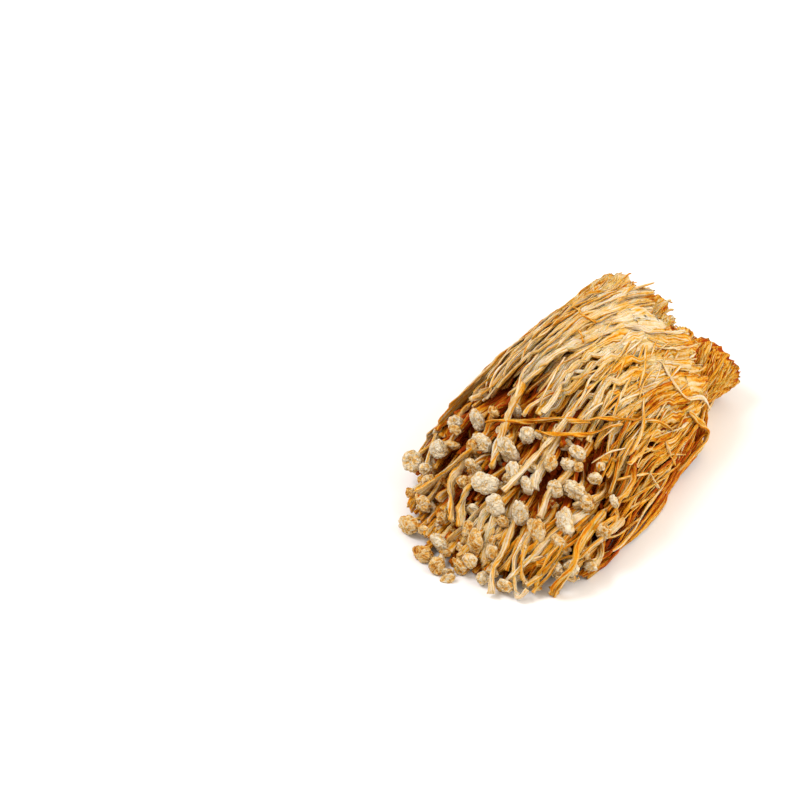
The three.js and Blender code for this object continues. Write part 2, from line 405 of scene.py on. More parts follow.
@dataclass
class Strands:
    """A batch of stems, strands or ribbons, swept along their centre lines.

    Attributes:
        paths: centre lines, (n, rings, 3).
        width: full widths, broadcast to (n, rings).
        thickness: full thicknesses, broadcast to (n, rings).
        twist: turns of the section about the line, broadcast to (n, rings).
        grooves: where the lengthwise grooves lie, from -1 to 1 across the section.
        groove: depth of a groove, as a share of the thickness.
        crumple: depth of the uneven shrinkage, as a share of the half width.
        sides: points round the section.
        seed: a number for the batch's own noise.
        crumple_mm, wander_mm: how long the crumples and the grooves' wandering run.
        end_step: the last ring's distance from the one before, as a share of the others'. It blunts the tip.
        girth: the way round the section, as a share of the width.
    """

    paths: np.ndarray
    width: np.ndarray
    thickness: np.ndarray
    twist: np.ndarray
    grooves: tuple[float, ...] = (0.0,)
    groove: float = 0.5
    crumple: float = 0.2
    sides: int = 8
    seed: float = 1.0
    crumple_mm: float = 1.5
    wander_mm: float = 9.0
    end_step: float = 0.12
    girth: float = 2.4

    def frames(self) -> tuple[np.ndarray, np.ndarray]:
        """The section's directions on each ring, level with the bunch's surface and then twisted.

        Returns:
            The sideways and the outward directions, (n, rings, 3) each.
        """
        heading = unit(np.gradient(self.paths, axis=1))
        outward = self.paths - FORM.axis(self.paths[..., 1])
        outward[..., 1] = 0.0
        outward = unit(outward + np.array([0.0, 0.0, 1e-3]))
        side = unit(np.cross(heading, outward))
        outward = np.cross(side, heading)
        turn = (TURN * np.broadcast_to(self.twist, self.paths.shape[:2]))[..., None]
        return side * np.cos(turn) + outward * np.sin(turn), outward * np.cos(turn) - side * np.sin(turn)

    def add_to(self, mesher: Mesher, **tones: np.ndarray) -> None:
        """Sweeps a flattened, grooved and crumpled oval along each line and adds it to a mesh.

        The oval is (w/2 cos t, h/2 (sin t)^0.7 (1 - groove e^-((cos t - g)/b)²)) for each groove g, whose
        place wanders along the line. Each point is moved in or out by noise over the turn and the length. The
        first and last rings shrink to their centres, which closes the ends.

        Args:
            mesher: the mesh.
            tones: a number for each ring, or for all, for each attribute that the finish reads.
        """
        count, rings, _ = self.paths.shape
        self.paths[:, -1] = self.paths[:, -2] + self.end_step * (self.paths[:, -1] - self.paths[:, -2])
        side, outward = self.frames()
        turn = np.arange(self.sides) / self.sides * TURN
        steps = np.linalg.norm(np.diff(self.paths, axis=1), axis=-1)
        length = np.concatenate([np.zeros((count, 1)), np.cumsum(steps, 1)], 1)
        which = np.arange(count)[:, None, None]
        shrink = 1.0 + self.crumple * noise(
            self.seed,
            1.9 * np.cos(turn)[None, None] + 5.3 * which,
            1.9 * np.sin(turn)[None, None] + 3.1 * which,
            length[..., None] / self.crumple_mm,
        )
        shrink[:, [0, -1]] = 1e-3
        across = np.cos(turn) * shrink * 0.5 * np.broadcast_to(self.width, (count, rings))[..., None]
        wander = 0.3 * noise(self.seed + 5, 2.3 * which, length[..., None] / self.wander_mm)
        width = 0.5 / (len(self.grooves) + 1)
        furrow = sum(np.exp(-(((np.cos(turn) - place - wander) / width) ** 2)) for place in self.grooves)
        raised = np.sign(np.sin(turn)) * np.abs(np.sin(turn)) ** 0.7 * (1.0 - self.groove * furrow)
        up = raised * shrink * 0.5 * np.broadcast_to(self.thickness, (count, rings))[..., None]
        points = self.paths[:, :, None] + side[:, :, None] * across[..., None]
        points = raised_to(points + outward[:, :, None] * up[..., None], FLOOR_GAP)
        girth = np.broadcast_to(self.width, (count, rings)).mean(1) * self.girth
        around = np.linspace(0.0, 1.0, self.sides + 1)[None, None] * girth[:, None, None] + 7.0 * which
        uv = joined(around, length[..., None] + 13.0 * which)
        # Painted light and shade: the ridge attribute is high where the section faces out, and low at its
        # edges and in its grooves.
        painted_light_by_facing = np.clip(0.25 + 1.1 * np.abs(np.sin(turn)), 0.0, 1.0) * (1.0 - 0.7 * np.clip(furrow, 0, 1))
        full = {k: np.broadcast_to(v, (count, rings))[..., None] for k, v in tones.items()}
        full["ridge"] = painted_light_by_facing
        spread = {k: np.broadcast_to(v, (count, rings, self.sides)).reshape(-1) for k, v in full.items()}
        faces = tube_faces(count, rings, self.sides)[:, ::-1]
        mesher.add(points.reshape(-1, 3), faces, corner_uv(uv)[:, ::-1], **spread)


# ---------------------------------------------------------------- how the stems run


@dataclass(frozen=True)
class Drift:
    """How neighbouring stems wander together, and where they part.

    Attributes:
        seed: a number for each layer of stems.
        locks: for each size of lock, its width, the share by which it draws together, and how far it runs.
        waves: for each size of wave, its height across, its width and its run, all in millimetres.
    """

    seed: float
    locks: tuple[Sizes, ...] = ((12.0, 0.28, 30.0), (5.4, 0.5, 18.0), (2.7, 0.42, 12.0))
    waves: tuple[Sizes, ...] = ((2.6, 18.0, 24.0), (0.8, 7.0, 13.0), (0.25, 3.0, 6.0))

    def strength(self, y: np.ndarray) -> np.ndarray:
        """How freely stems part at y: little at the fused roots, fully from the middle on."""
        return between(0.3, 1.0, ease((34.0 - y) / 40.0))

    def across(self, s: np.ndarray, y: np.ndarray) -> np.ndarray:
        """Where the stem that starts at s across lies at y.

        In a lock of width w centred on c, it moves towards c by a share of its distance that wanders along
        the lock, so lens-shaped gaps open between locks. Waves of noise then move neighbours together.

        Args:
            s: where each stem starts across.
            y: where along the bunch.

        Returns:
            Places across, of their common shape.
        """
        s, y = np.broadcast_arrays(s, y)
        moved = s.copy()
        for k, (width, pull, run) in enumerate(self.locks):
            q = s / width + 0.35 * noise(self.seed + k, s / width / 1.4)
            centre = np.round(q)
            amount = ease(0.5 + 0.95 * noise(self.seed + 10 + k, centre * 3.7, y / run))
            moved = moved - (q - centre) * width * amount * pull * self.strength(y)
        for k, (height, width, run) in enumerate(self.waves):
            moved = moved + height * noise(self.seed + 20 + k, s / width, y / run)
        return moved


@dataclass
class StemRun:
    """Where a batch of stems runs: the rule of the solid's stems, with finer waves and locks added.

    Attributes:
        index: whole numbers of the stems.
        rings: points along each.
        on_surface: whether they lie over the back and flanks, not inside the bunch.
        across: for surface stems, where each starts across the back, in millimetres from the right foot.
        depth: how far under the surface, as a share of the section.
        late: how far behind the face each tip stops, or None for the solid's own rule.
        angle: each stem's angle in the section, or None for the solid's own rule.
        rho: each stem's share of the section's size, or None for the solid's own rule.
        tips: where each tip has to be, (n, 3), or None.
        arc: how many millimetres round the section one radian is.
        slant: how far up the right flank the stems climb from the root pad to the face, in millimetres.
        drift: how neighbours wander together.
        foot: the least and greatest Y of a foot.
        spread: over what length the tips inside the bunch are spread along Y.
        droop: the least and greatest droop of a free end.
        swing: over what width the free ends are swung aside.
        least_height: how far centre lines stay above the floor.
    """

    index: np.ndarray
    rings: int = 44
    on_surface: bool = False
    across: np.ndarray | None = None
    depth: float = 0.0
    late: np.ndarray | None = None
    angle: np.ndarray | None = None
    rho: np.ndarray | None = None
    tips: np.ndarray | None = None
    arc: float = ARC_MM
    slant: float = 15.0
    drift: Drift = Drift(100.0)
    foot: tuple[float, float] = (40.0, 50.0)
    spread: float = 7.0
    droop: tuple[float, float] = (3.0, 7.0)
    swing: float = 7.0
    least_height: float = 0.7

    def pull(self, use: float) -> np.ndarray:
        """A draw for each stem."""
        return draw(self.index + (500 if self.on_surface else 0), use)

    def angles(self) -> np.ndarray:
        """Each stem's angle in the section at its tip: its own, or else spread evenly by the index.

        Returns:
            Angles from the right foot, (n,).
        """
        if self.across is not None:
            return self.across / self.arc
        if self.angle is not None:
            return self.angle
        return math.pi * between(0.03, 0.97, (0.5 + self.index * EVEN_ROUND) % 1.0)

    def shares(self) -> np.ndarray:
        """Each stem's share of the section's size at its tip: its own, or else spread evenly by the index.

        Returns:
            Shares, 1 on the outside, (n,).
        """
        if self.rho is not None:
            return self.rho - self.depth
        if self.on_surface:
            return between(0.98, 1.03, self.pull(5)) - self.depth
        return np.sqrt(between(0.03, 1.0, (0.25 + self.index * EVEN_OUT) % 1.0)) - self.depth

    def paths(self) -> np.ndarray:
        """Centre lines from foot to tip.

        Angle and share go from the foot's to the tip's by 3f² - 2f³ of the way f along. Drift then moves
        them across, a few waves and the free end's swing and droop are added, and the tips are drawn to their
        places.

        Returns:
            Points, (n, rings, 3).
        """
        angle, rho = self.angles(), self.shares()
        late = self.late
        if late is None and self.on_surface:
            late = 3.0 + 14.0 * self.pull(1) ** 2 + 110.0 * self.depth
        elif late is None:
            late = self.spread * (self.pull(1) - 0.5)
        head = FORM.in_section(np.full(len(angle), FACE_STATION), angle, rho)
        tip_y = FORM.front_at(head[:, 0], head[:, 2]) + late
        foot_y = between(*self.foot, self.pull(2))
        foot_angle = angle + (self.pull(3) - 0.5) * 0.24
        foot_rho = rho * between(0.75, 0.95, self.pull(4))
        if self.on_surface:
            climb = self.slant / self.arc * ease(angle / 0.9)
            foot_angle = angle - climb * (1.0 - ease((angle - 1.3) / 1.0))
            left = ease((foot_angle - 1.5) / 0.4)
            foot_y = foot_y + 12.0 * left
            foot_rho = rho - 0.22 * (1.0 - left)
        f = along(self.rings)
        bend = ease(f)
        y = tip_y[:, None] * f + foot_y[:, None] * (1 - f)
        turned = foot_angle[:, None] * (1 - bend) + angle[:, None] * bend
        rise = ease(3 * f) if self.on_surface else bend
        out = foot_rho[:, None] * (1 - rise) + rho[:, None] * rise
        turned = self.drift.across(turned * self.arc, y) / self.arc
        out = out + 0.018 * noise(self.drift.seed + 30, self.index[:, None] * 5.7, y / 9.0)
        points = FORM.in_section(y, np.clip(turned, 0.03, math.pi - 0.03), out)
        free = ease((f - 0.72) / 0.28)
        wave = (0.4 + f) * (0.35 if self.on_surface else 1.0)
        hanging = np.where(head[:, 2] > 8.0, 1.0, 0.3)[:, None]
        droop = between(*self.droop, self.pull(9))[:, None]
        swing = self.swing * (self.pull(8) - 0.5)[:, None] * (0.45 if self.on_surface else 1.0)
        sideways, upwards = (
            np.sin(TURN * (turns * f + self.pull(use)[:, None])) for turns, use in ((2.2, 6), (1.8, 7))
        )
        points[..., 0] += 0.9 * wave * sideways + swing * free
        points[..., 2] += 0.6 * wave * upwards - droop * hanging * free
        which = self.index[:, None] * 7.31
        for k, (size, step) in enumerate(((0.3, 7.0), (0.16, 3.2), (0.07, 1.4))):
            points[..., 0] += size * noise(20.0 + k, which, y / step)
            points[..., 2] += 0.7 * size * noise(30.0 + k, which, y / step)
        if self.tips is not None:
            points += (self.tips - points[:, -1])[:, None] * ease((f - 0.25) / 0.75)[..., None]
        return raised_to(points, self.least_height)


def pale_at(points: np.ndarray) -> np.ndarray:
    """How pale the bunch is at points: paler over the left and top, more golden on the right flank and
    towards the floor.

    Args:
        points: places, (..., 3).

    Returns:
        Numbers from 0 to 1, (...).
    """
    right = ease((points[..., 0] - 2.0) / 26.0)
    low = ease((12.0 - points[..., 2]) / 12.0)
    return np.clip(0.76 - 0.56 * right - 0.25 * low, 0.0, 1.0)


def inside(points: np.ndarray) -> np.ndarray:
    """How far inside the bunch points lie, from 0 near the face of heads to 1 at 20 mm behind it."""
    return ease((points[..., 1] - FORM.front_at(points[..., 0], points[..., 2]) - 6.0) / 14.0)


def sunk(paths: np.ndarray, share: float = 0.14) -> np.ndarray:
    """Paths drawn in towards the bunch's axis by a share, where they are inside the bunch."""
    axis = FORM.axis(paths[..., 1])
    return axis + (paths - axis) * (1.0 - share * inside(paths))[..., None]


# ---------------------------------------------------------------- finishes


def linear(code: str) -> tuple[float, float, float, float]:
    """An sRGB hex colour as linear light.

    Args:
        code: the colour as #rrggbb.

    Returns:
        Red, green, blue and 1.
    """
    values = [int(code[i : i + 2], 16) / 255.0 for i in (1, 3, 5)]
    parts = [v / 12.92 if v <= 0.04045 else ((v + 0.055) / 1.055) ** 2.4 for v in values]
    return (parts[0], parts[1], parts[2], 1.0)


class Tree:
    """A material's node tree, built node by node."""

    def __init__(self, name: str) -> None:
        """Starts an empty material.

        Args:
            name: its name.
        """
        self.material = bpy.data.materials.new(name)
        self.material.use_nodes = True
        self.material.node_tree.nodes.clear()

    def node(
        self, kind: str, inputs: dict | None = None, stops: Stops = (), **settings: object
    ) -> bpy.types.Node:
        """Adds a node.

        Args:
            kind: the node's type name without the ShaderNode in front.
            inputs: for each socket name or number, a value, the output socket that feeds it, or the node
                whose first output feeds it.
            stops: a colour ramp's (place, sRGB hex) stops.
            settings: the node's own properties.

        Returns:
            The new node.
        """
        made = self.material.node_tree.nodes.new("ShaderNode" + kind)
        for key, value in settings.items():
            setattr(made, key, value)
        for key, value in (inputs or {}).items():
            if isinstance(value, bpy.types.Node):
                value = value.outputs[0]
            if isinstance(value, bpy.types.NodeSocket):
                self.material.node_tree.links.new(value, made.inputs[key])
            else:
                made.inputs[key].default_value = value
        while stops and len(made.color_ramp.elements) < len(stops):
            made.color_ramp.elements.new(1.0)
        for element, (place, code) in zip(made.color_ramp.elements if stops else (), stops):
            element.position = place
            element.color = linear(code)
        return made

    def total(self, base: float, parts: tuple[tuple[object, float], ...]) -> bpy.types.Node:
        """Sums base and each part times its weight, and holds the sum between 0 and 1.

        Args:
            base: what the sum starts from.
            parts: the nodes or sockets, each with its weight.

        Returns:
            The last node of the sum.
        """
        value: object = base
        for part, weight in parts:
            value = self.node("Math", {0: part, 1: weight, 2: value}, operation="MULTIPLY_ADD")
        value.use_clamp = True
        return value

    def finished(self, inputs: dict) -> bpy.types.Material:
        """Feeds one principled shader to the surface.

        Args:
            inputs: the shader's own, as node() takes them.

        Returns:
            The material.
        """
        shader = self.node("BsdfPrincipled", inputs)
        self.node("OutputMaterial", {"Surface": shader})
        return self.material


@dataclass(frozen=True)
class DriedStem:
    """Dried mushroom stem: chitin fibre shrunk and browned in warm air.

    It is matt, with pale raised fibres over golden grooves, and light that soaks in gives deep orange shade.
    Its colour also carries painted light and shade: paler where a stem faces out, darker at its edges, in its
    grooves and inside the bunch, where it is mixed towards a dark orange brown.

    Attributes:
        shades: the ramp from the darkest, in grooves and painted shade, to the palest, where painted light
            falls.
        deep: the colour of the painted shade, mixed in where the depth attribute is high.
        cord_mm, cord_run_mm: width and run of the cords that the fibres gather in.
        fibre_mm, fibre_run_mm: width and run of the fibres.
        wrinkle_mm, wrinkle_run_mm: width and run of the crinkle, coarser than the real one so that it shows.
        blotch_mm, blotch_run_mm: width and run of the patches that browned more.
        soak: how much of the light goes in and comes out again.
    """

    name: str = "dried stem fibre"
    shades: Stops = (
        (0.0, "#983802"),
        (0.18, "#be7006"),
        (0.34, "#cc921a"),
        (0.5, "#ccaa68"),
        (0.68, "#ceb890"),
        (0.88, "#d6cab4"),
    )
    deep: str = "#8a3604"
    cord_mm: float = 0.9
    cord_run_mm: float = 14.0
    fibre_mm: float = 0.3
    fibre_run_mm: float = 6.0
    wrinkle_mm: float = 0.55
    wrinkle_run_mm: float = 0.9
    blotch_mm: float = 2.0
    blotch_run_mm: float = 4.0
    roughness: float = 0.62
    soak: float = 0.42

    def grain(self, tree: Tree, width: float, run: float, **inputs: float) -> bpy.types.NodeSocket:
        """Noise that follows the stem.

        Args:
            tree: the material's tree.
            width, run: its size across and along the stem, in millimetres.
            inputs: the noise's own settings.

        Returns:
            The socket of its value, 0 to 1.
        """
        uv = tree.node("UVMap", uv_map="Fibre")
        place = tree.node("Mapping", {"Vector": uv, "Scale": (1 / width, 1 / run, 1)})
        return tree.node("TexNoise", {"Vector": place, "Scale": 1.0, **inputs}).outputs["Fac"]

    def material(self) -> bpy.types.Material:
        """The finish: a ramp over a weighted sum of grains, tone, ridge and depth, and a bump of the grains.
        Ridge carries painted light and shade, and depth carries painted shade.

        Returns:
            The material.
        """
        tree = Tree(self.name)
        read = [tree.node("Attribute", attribute_name=key) for key in ("tone", "ridge", "depth")]
        tone, ridge, depth = (node.outputs["Fac"] for node in read)
        fibre = self.grain(tree, self.fibre_mm, self.fibre_run_mm, Detail=3.0, Roughness=0.6)
        blotch = self.grain(tree, self.blotch_mm, self.blotch_run_mm, Detail=3.0)
        cord = self.grain(tree, self.cord_mm, self.cord_run_mm, Detail=1.0)
        wrinkle = self.grain(tree, self.wrinkle_mm, self.wrinkle_run_mm, Detail=2.0)
        away = tree.node("Math", {0: cord, 1: 2.0, 2: -1.0}, operation="MULTIPLY_ADD")
        away = tree.node("Math", {0: away}, operation="ABSOLUTE")
        raised = tree.node("Math", {0: away, 1: 3.0}, operation="MULTIPLY", use_clamp=True)
        # Painted light and shade: the ridge attribute lightens where a stem faces out, and depth darkens it.
        painted_ridge_light = tree.node("Math", {0: tone, 1: 0.2, 2: 0.4}, operation="MULTIPLY_ADD")
        painted_ridge_light = tree.node("Math", {0: ridge, 1: painted_ridge_light}, operation="MULTIPLY")
        grains = ((fibre, 0.6), (wrinkle, 0.4), (raised, 0.3), (blotch, 0.4))
        value = tree.total(-1.0, (*grains, (tone, 0.5), (painted_ridge_light, 1.0), (depth, -0.6)))
        colour = tree.node("ValToRGB", {"Fac": value}, self.shades)
        # Painted shade: where depth is high, the colour is mixed towards the dark shade colour.
        shadow = tree.node("Math", {0: depth, 1: 0.6}, operation="MULTIPLY")
        colour = tree.node("Mix", {0: shadow, 6: colour, 7: linear(self.deep)}, data_type="RGBA").outputs[2]
        bump = {}
        for height, strength, distance in ((raised, 0.8, 0.4), (fibre, 0.6, 0.3), (wrinkle, 0.8, 0.4)):
            relief = {"Height": height, "Strength": strength, "Distance": distance * METRES, **bump}
            bump = {"Normal": tree.node("Bump", relief)}
        return tree.finished(
            {
                "Base Color": colour,
                "Roughness": self.roughness,
                "IOR": 1.45,
                "Specular IOR Level": 0.08,
                "Subsurface Weight": self.soak,
                "Subsurface Radius": (1.0, 0.6, 0.25),
                "Subsurface Scale": 0.8 * METRES,
                **bump,
            }
        )


@dataclass(frozen=True)
class DriedCap:
    """Dried mushroom cap: thin skin shrunk into a net of wrinkles. It is matt cream, with painted shade in
    tan in its creases and under it.

    Attributes:
        creases: the ramp from the painted shade in the creases' bottoms to the skin's folds.
        net_mm: width of the net's cells.
        bend_mm: width of the noise that bends them.
        line, slack: how far a raised line and the skin's sag reach from a cell's edge, in cells.
    """

    name: str = "dried cap skin"
    creases: Stops = (
        (0.0, "#84460a"),
        (0.2, "#b06e14"),
        (0.4, "#c89a48"),
        (0.6, "#ceb484"),
        (0.85, "#d6cdb8"),
    )
    net_mm: float = 1.25
    bend_mm: float = 1.8
    line: float = 0.12
    slack: float = 0.4
    roughness: float = 0.7

    def near(self, tree: Tree, edge: bpy.types.NodeSocket, reach: float) -> bpy.types.Node:
        """The node of 1 - edge / reach, from 1 on a cell's edge to 0 at that reach and beyond."""
        share = tree.node("Math", {0: edge, 1: reach}, operation="DIVIDE")
        return tree.node("Math", {0: 1.0, 1: share}, operation="SUBTRACT", use_clamp=True)

    def material(self) -> bpy.types.Material:
        """The finish: a ramp over the crease height, which carries painted shade, and a net of thin raised
        lines, with sags between them.

        The lines are the edges of bent Voronoi cells.

        Returns:
            The material.
        """
        tree = Tree(self.name)
        place = tree.node("TexCoord").outputs["Object"]
        crease, tone = (tree.node("Attribute", attribute_name=k).outputs["Fac"] for k in ("crease", "tone"))
        bend = tree.node("TexNoise", {"Vector": place, "Scale": 1.0 / (self.bend_mm * METRES), "Detail": 2.0})
        shift = tree.node("VectorMath", {0: bend.outputs["Color"], 1: (0.5, 0.5, 0.5)}, operation="SUBTRACT")
        reach = (1.2 * self.net_mm * METRES,) * 3
        bent = tree.node("VectorMath", {0: shift, 1: reach, 2: place}, operation="MULTIPLY_ADD")
        net = {"Vector": bent, "Scale": 1.0 / (self.net_mm * METRES)}
        edge = tree.node("TexVoronoi", net, feature="DISTANCE_TO_EDGE").outputs["Distance"]
        # Painted shade: a low crease value gives the darker, tan colours.
        value = tree.total(-0.04, ((crease, 0.5), (self.near(tree, edge, self.line), 0.24), (tone, 0.48)))
        sag = tree.node("Math", {0: self.near(tree, edge, self.slack), 1: 2.0}, operation="POWER")
        return tree.finished(
            {
                "Base Color": tree.node("ValToRGB", {"Fac": value}, self.creases),
                "Roughness": self.roughness,
                "IOR": 1.45,
                "Specular IOR Level": 0.25,
                "Subsurface Weight": 0.1,
                "Subsurface Radius": (1.0, 0.6, 0.3),
                "Subsurface Scale": 0.8 * METRES,
                "Normal": tree.node("Bump", {"Height": sag, "Strength": 0.9, "Distance": 0.4 * METRES}),
            }
        )


@dataclass(frozen=True)
class StudioFloor:
    """A plain pale floor of matt painted board."""

    name: str = "pale painted board"
    colour: str = "#e4e6ea"
    roughness: float = 0.8

    def material(self) -> bpy.types.Material:
        """The finish: one matt colour."""
        return Tree(self.name).finished({"Base Color": linear(self.colour), "Roughness": self.roughness})


# ---------------------------------------------------------------- the pieces


class Slot(Enum):
    """The record's material slots."""

    STEM = "dried_stem"
    CAP = "dried_cap"
    ROOT = "root_mat"


class Piece:
    """A piece of the bunch, whose own class fills its mesh.

    Attributes:
        name: the piece's name.
    """

    name: str

    def fill(self, mesher: Mesher) -> None:
        """Adds the piece's shapes to its mesh."""
        raise NotImplementedError

    def build(self, finish: bpy.types.Material, slot: Slot) -> None:
        """Builds the piece, and has it ride with the bunch and stand for its solid.

        Args:
            finish: its material.
            slot: not used.
        """
        mesher = Mesher(self.name)
        self.fill(mesher)
        piece = mesher.make(finish)
        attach(piece, BODY)
        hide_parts(NODE)


@dataclass
class SurfaceStems(Piece):
    """Stems over the back and flanks, side by side in layers.

    Attributes:
        name: the piece's name.
        count: how many lie side by side.
        depth: how far under the surface, as a share of the section.
        rings: points along each.
        sides: points round each.
        width: the least and greatest width.
        fused: the shares of its width that a stem has at the roots and at its tip.
        grooves: where each stem's lengthwise grooves lie, from -1 to 1.
        first, last: where the layer starts and ends across the back, from the right foot.
        shade: how much painted shade the layer gets for lying deep, 0 to 1.
        seed: a number for the layer.
    """

    name: str
    count: int
    depth: float
    rings: int
    sides: int
    width: tuple[float, float] = (1.8, 3.4)
    fused: tuple[float, float] = (2.3, 0.74)
    grooves: tuple[float, ...] = (0.0,)
    first: float = 2.0
    last: float = 101.0
    shade: float = 0.0
    seed: float = 100.0

    def fill(self, mesher: Mesher) -> None:
        """Adds the layer: stems spaced evenly across, wider and flatter where they fuse near the roots.

        Args:
            mesher: the piece's mesh.
        """
        index = np.arange(self.count) + int(self.seed * 7)
        across = np.linspace(self.first, self.last, self.count) + 0.6 * (draw(index, 60) - 0.5)
        run = StemRun(index, self.rings, True, across, self.depth, drift=Drift(self.seed))
        paths = run.paths()
        f = along(self.rings)
        flank = ease((34.0 - across) / 20.0)[:, None]
        width = between(*self.width, draw(index, 61) ** 1.4)[:, None] * (1.0 - 0.35 * flank)
        width = width * uneven(0.35, self.seed + 40, index[:, None] * 3.3, f * 11.0)
        width = width * between(*self.fused, ease(1.25 * f))
        thickness = 0.42 * width**0.5 * between(1.1, 1.9, draw(index, 62))[:, None]
        twist = 0.09 * noise(self.seed + 50, index[:, None] * 5.1, f * 4.0)
        tone = pale_at(paths) + 0.45 * (draw(index, 63)[:, None] - 0.5)
        tone = tone + 0.25 * noise(self.seed + 51, index[:, None] * 2.9, f * 6.0)
        strands = Strands(
            paths, width, thickness, twist, grooves=self.grooves, groove=0.6, sides=self.sides, seed=self.seed
        )
        # The layer's shade is painted shade, given through the depth attribute.
        strands.add_to(mesher, tone=np.clip(tone, 0, 1), depth=self.shade)


@dataclass
class FusedRibbons(Piece):
    """Wide flat ribbons of stems that have fused side by side, over the back and the root half.

    Attributes:
        count: how many.
        rings, sides: points along and round each.
        width: the least and greatest width.
        thickness: each one's thickness.
        proud: how far they stand out of the surface, as a share of the section.
    """

    name: str = "fused_ribbons"
    count: int = 30
    rings: int = 52
    sides: int = 24
    width: tuple[float, float] = (4.0, 9.0)
    thickness: float = 0.9
    proud: float = 0.012

    def fill(self, mesher: Mesher) -> None:
        """Adds the ribbons, each with four grooves, thinning to one stem towards its tip.

        Args:
            mesher: the piece's mesh.
        """
        index = np.arange(self.count) + 2000
        across = between(22.0, 99.0, (np.arange(self.count) + draw(index, 60)) / self.count)
        late = 14.0 + 34.0 * draw(index, 64)
        run = StemRun(index, self.rings, True, across, -self.proud, late=late, drift=Drift(100.0))
        paths = run.paths()
        f = along(self.rings)
        width = between(*self.width, draw(index, 61))[:, None]
        width = width * uneven(0.35, 140.0, index[:, None] * 3.3, f * 8.0)
        width = width * between(1.0, 0.22, ease(1.3 * f - 0.3))
        tone = np.clip(pale_at(paths) + 0.06 + 0.4 * (draw(index, 63)[:, None] - 0.5), 0, 1)
        strands = Strands(
            paths,
            width,
            np.full_like(width, self.thickness),
            0.04 * noise(141.0, index[:, None] * 5.1, f * 4.0),
            grooves=(-0.7, -0.25, 0.25, 0.7),
            groove=0.6,
            crumple=0.12,
            sides=self.sides,
            seed=142.0,
        )
        strands.add_to(mesher, tone=tone, depth=0.0)


def smoothed(paths: np.ndarray, times: int) -> np.ndarray:
    """Centre lines blurred, each point by its two neighbours, with their ends kept.

    Args:
        paths: the lines, (n, rings, 3).
        times: how often.

    Returns:
        An array like paths.
    """
    paths = paths.copy()
    for _ in range(times):
        paths[:, 1:-1] = (paths[:, :-2] + 2 * paths[:, 1:-1] + paths[:, 2:]) / 4
    return paths


@dataclass(frozen=True)
class Laid:
    """A stem or strand whose places are listed: its width, how pale it is, and the places it passes."""

    width: float
    pale: float
    places: tuple[Sizes, ...]

    def path(self, rings: int) -> np.ndarray:
        """A smooth centre line through the places, straight between them and then blurred.

        Args:
            rings: points along it.

        Returns:
            The line, (1, rings, 3).
        """
        steps = np.linspace(0, len(self.places) - 1, rings)
        table = np.array(self.places, float)
        points = np.stack([np.interp(steps, np.arange(len(table)), table[:, k]) for k in range(3)], -1)
        points[:, 2] += 0.5 * noise(67.0 + self.places[0][0], steps * 1.7)
        return raised_to(smoothed(points[None], 5), 0.3 * self.width)


# Strands over the top and the right flank.
LAID_STRANDS = (
    Laid(
        1.5,
        0.35,
        ((-17, -20, 24), (-11, -19, 27), (-5, -18, 28), (1, -15, 30), (7, -14, 31), (12, -11, 30)),
    ),
    Laid(1.3, 0.35, ((9, -13, 31), (12, -10, 30), (16, -5, 29), (20, 3, 26), (22, 9, 22), (24, 13, 16))),
    Laid(1.3, 0.3, ((-1, -20, 28), (4, -20, 29), (7, -18, 29), (11, -15, 28), (15, -11, 29), (18, -4, 28))),
    Laid(
        1.6,
        1.0,
        ((1, 27, 35.5), (4, 30, 34.5), (7, 30, 34.5), (9, 32, 33.8), (11, 36, 32), (12.5, 43, 29.5)),
    ),
    Laid(1.0, 0.95, ((11, 28, 31.5), (13.5, 31.5, 30), (15, 34, 29.5), (16.5, 37, 28.5), (17, 41, 27))),
    Laid(
        1.1,
        0.9,
        ((14, 24, 31), (17, 23, 28.5), (20, 21.5, 27), (23.5, 22.5, 21.5))
        + ((24.5, 28.5, 20), (24.5, 33, 16), (26, 35, 11)),
    ),
    Laid(1.0, 0.4, ((-19.5, 33, 31), (-17.5, 33, 31.5), (-13.5, 26.5, 35), (-10.5, 24.5, 36), (-7, 25, 35))),
    Laid(0.9, 0.3, ((-9.5, 18, 35.5), (-8.5, 17.5, 35.5), (-4.5, 12.5, 36.5))),
    Laid(
        1.8,
        0.45,
        ((25.5, 21, 19), (26.3, 25, 14.5), (27.5, 26, 13), (28, 30, 8))
        + ((28.5, 27, 5), (28.5, 21, 5.5), (29, 9, 7)),
    ),
    Laid(0.8, 1.0, ((24.8, 11.5, 18.3), (25.7, 14.5, 17.5), (26.2, 17, 17.4), (26.5, 20, 16.5))),
    Laid(1.0, 0.5, ((25.8, 7, 18), (26.3, 7.3, 16), (27.2, 8, 13), (28, 9.5, 8.5))),
    Laid(0.8, 0.8, ((27, -4.5, 15.3), (27.8, -4, 13.3), (28, -3, 11), (28, 0, 6.5))),
    Laid(1.2, 0.5, ((22, -12, 21), (23.8, -10.5, 21.5), (24.3, -6, 21.5), (24.3, -2, 22))),
)


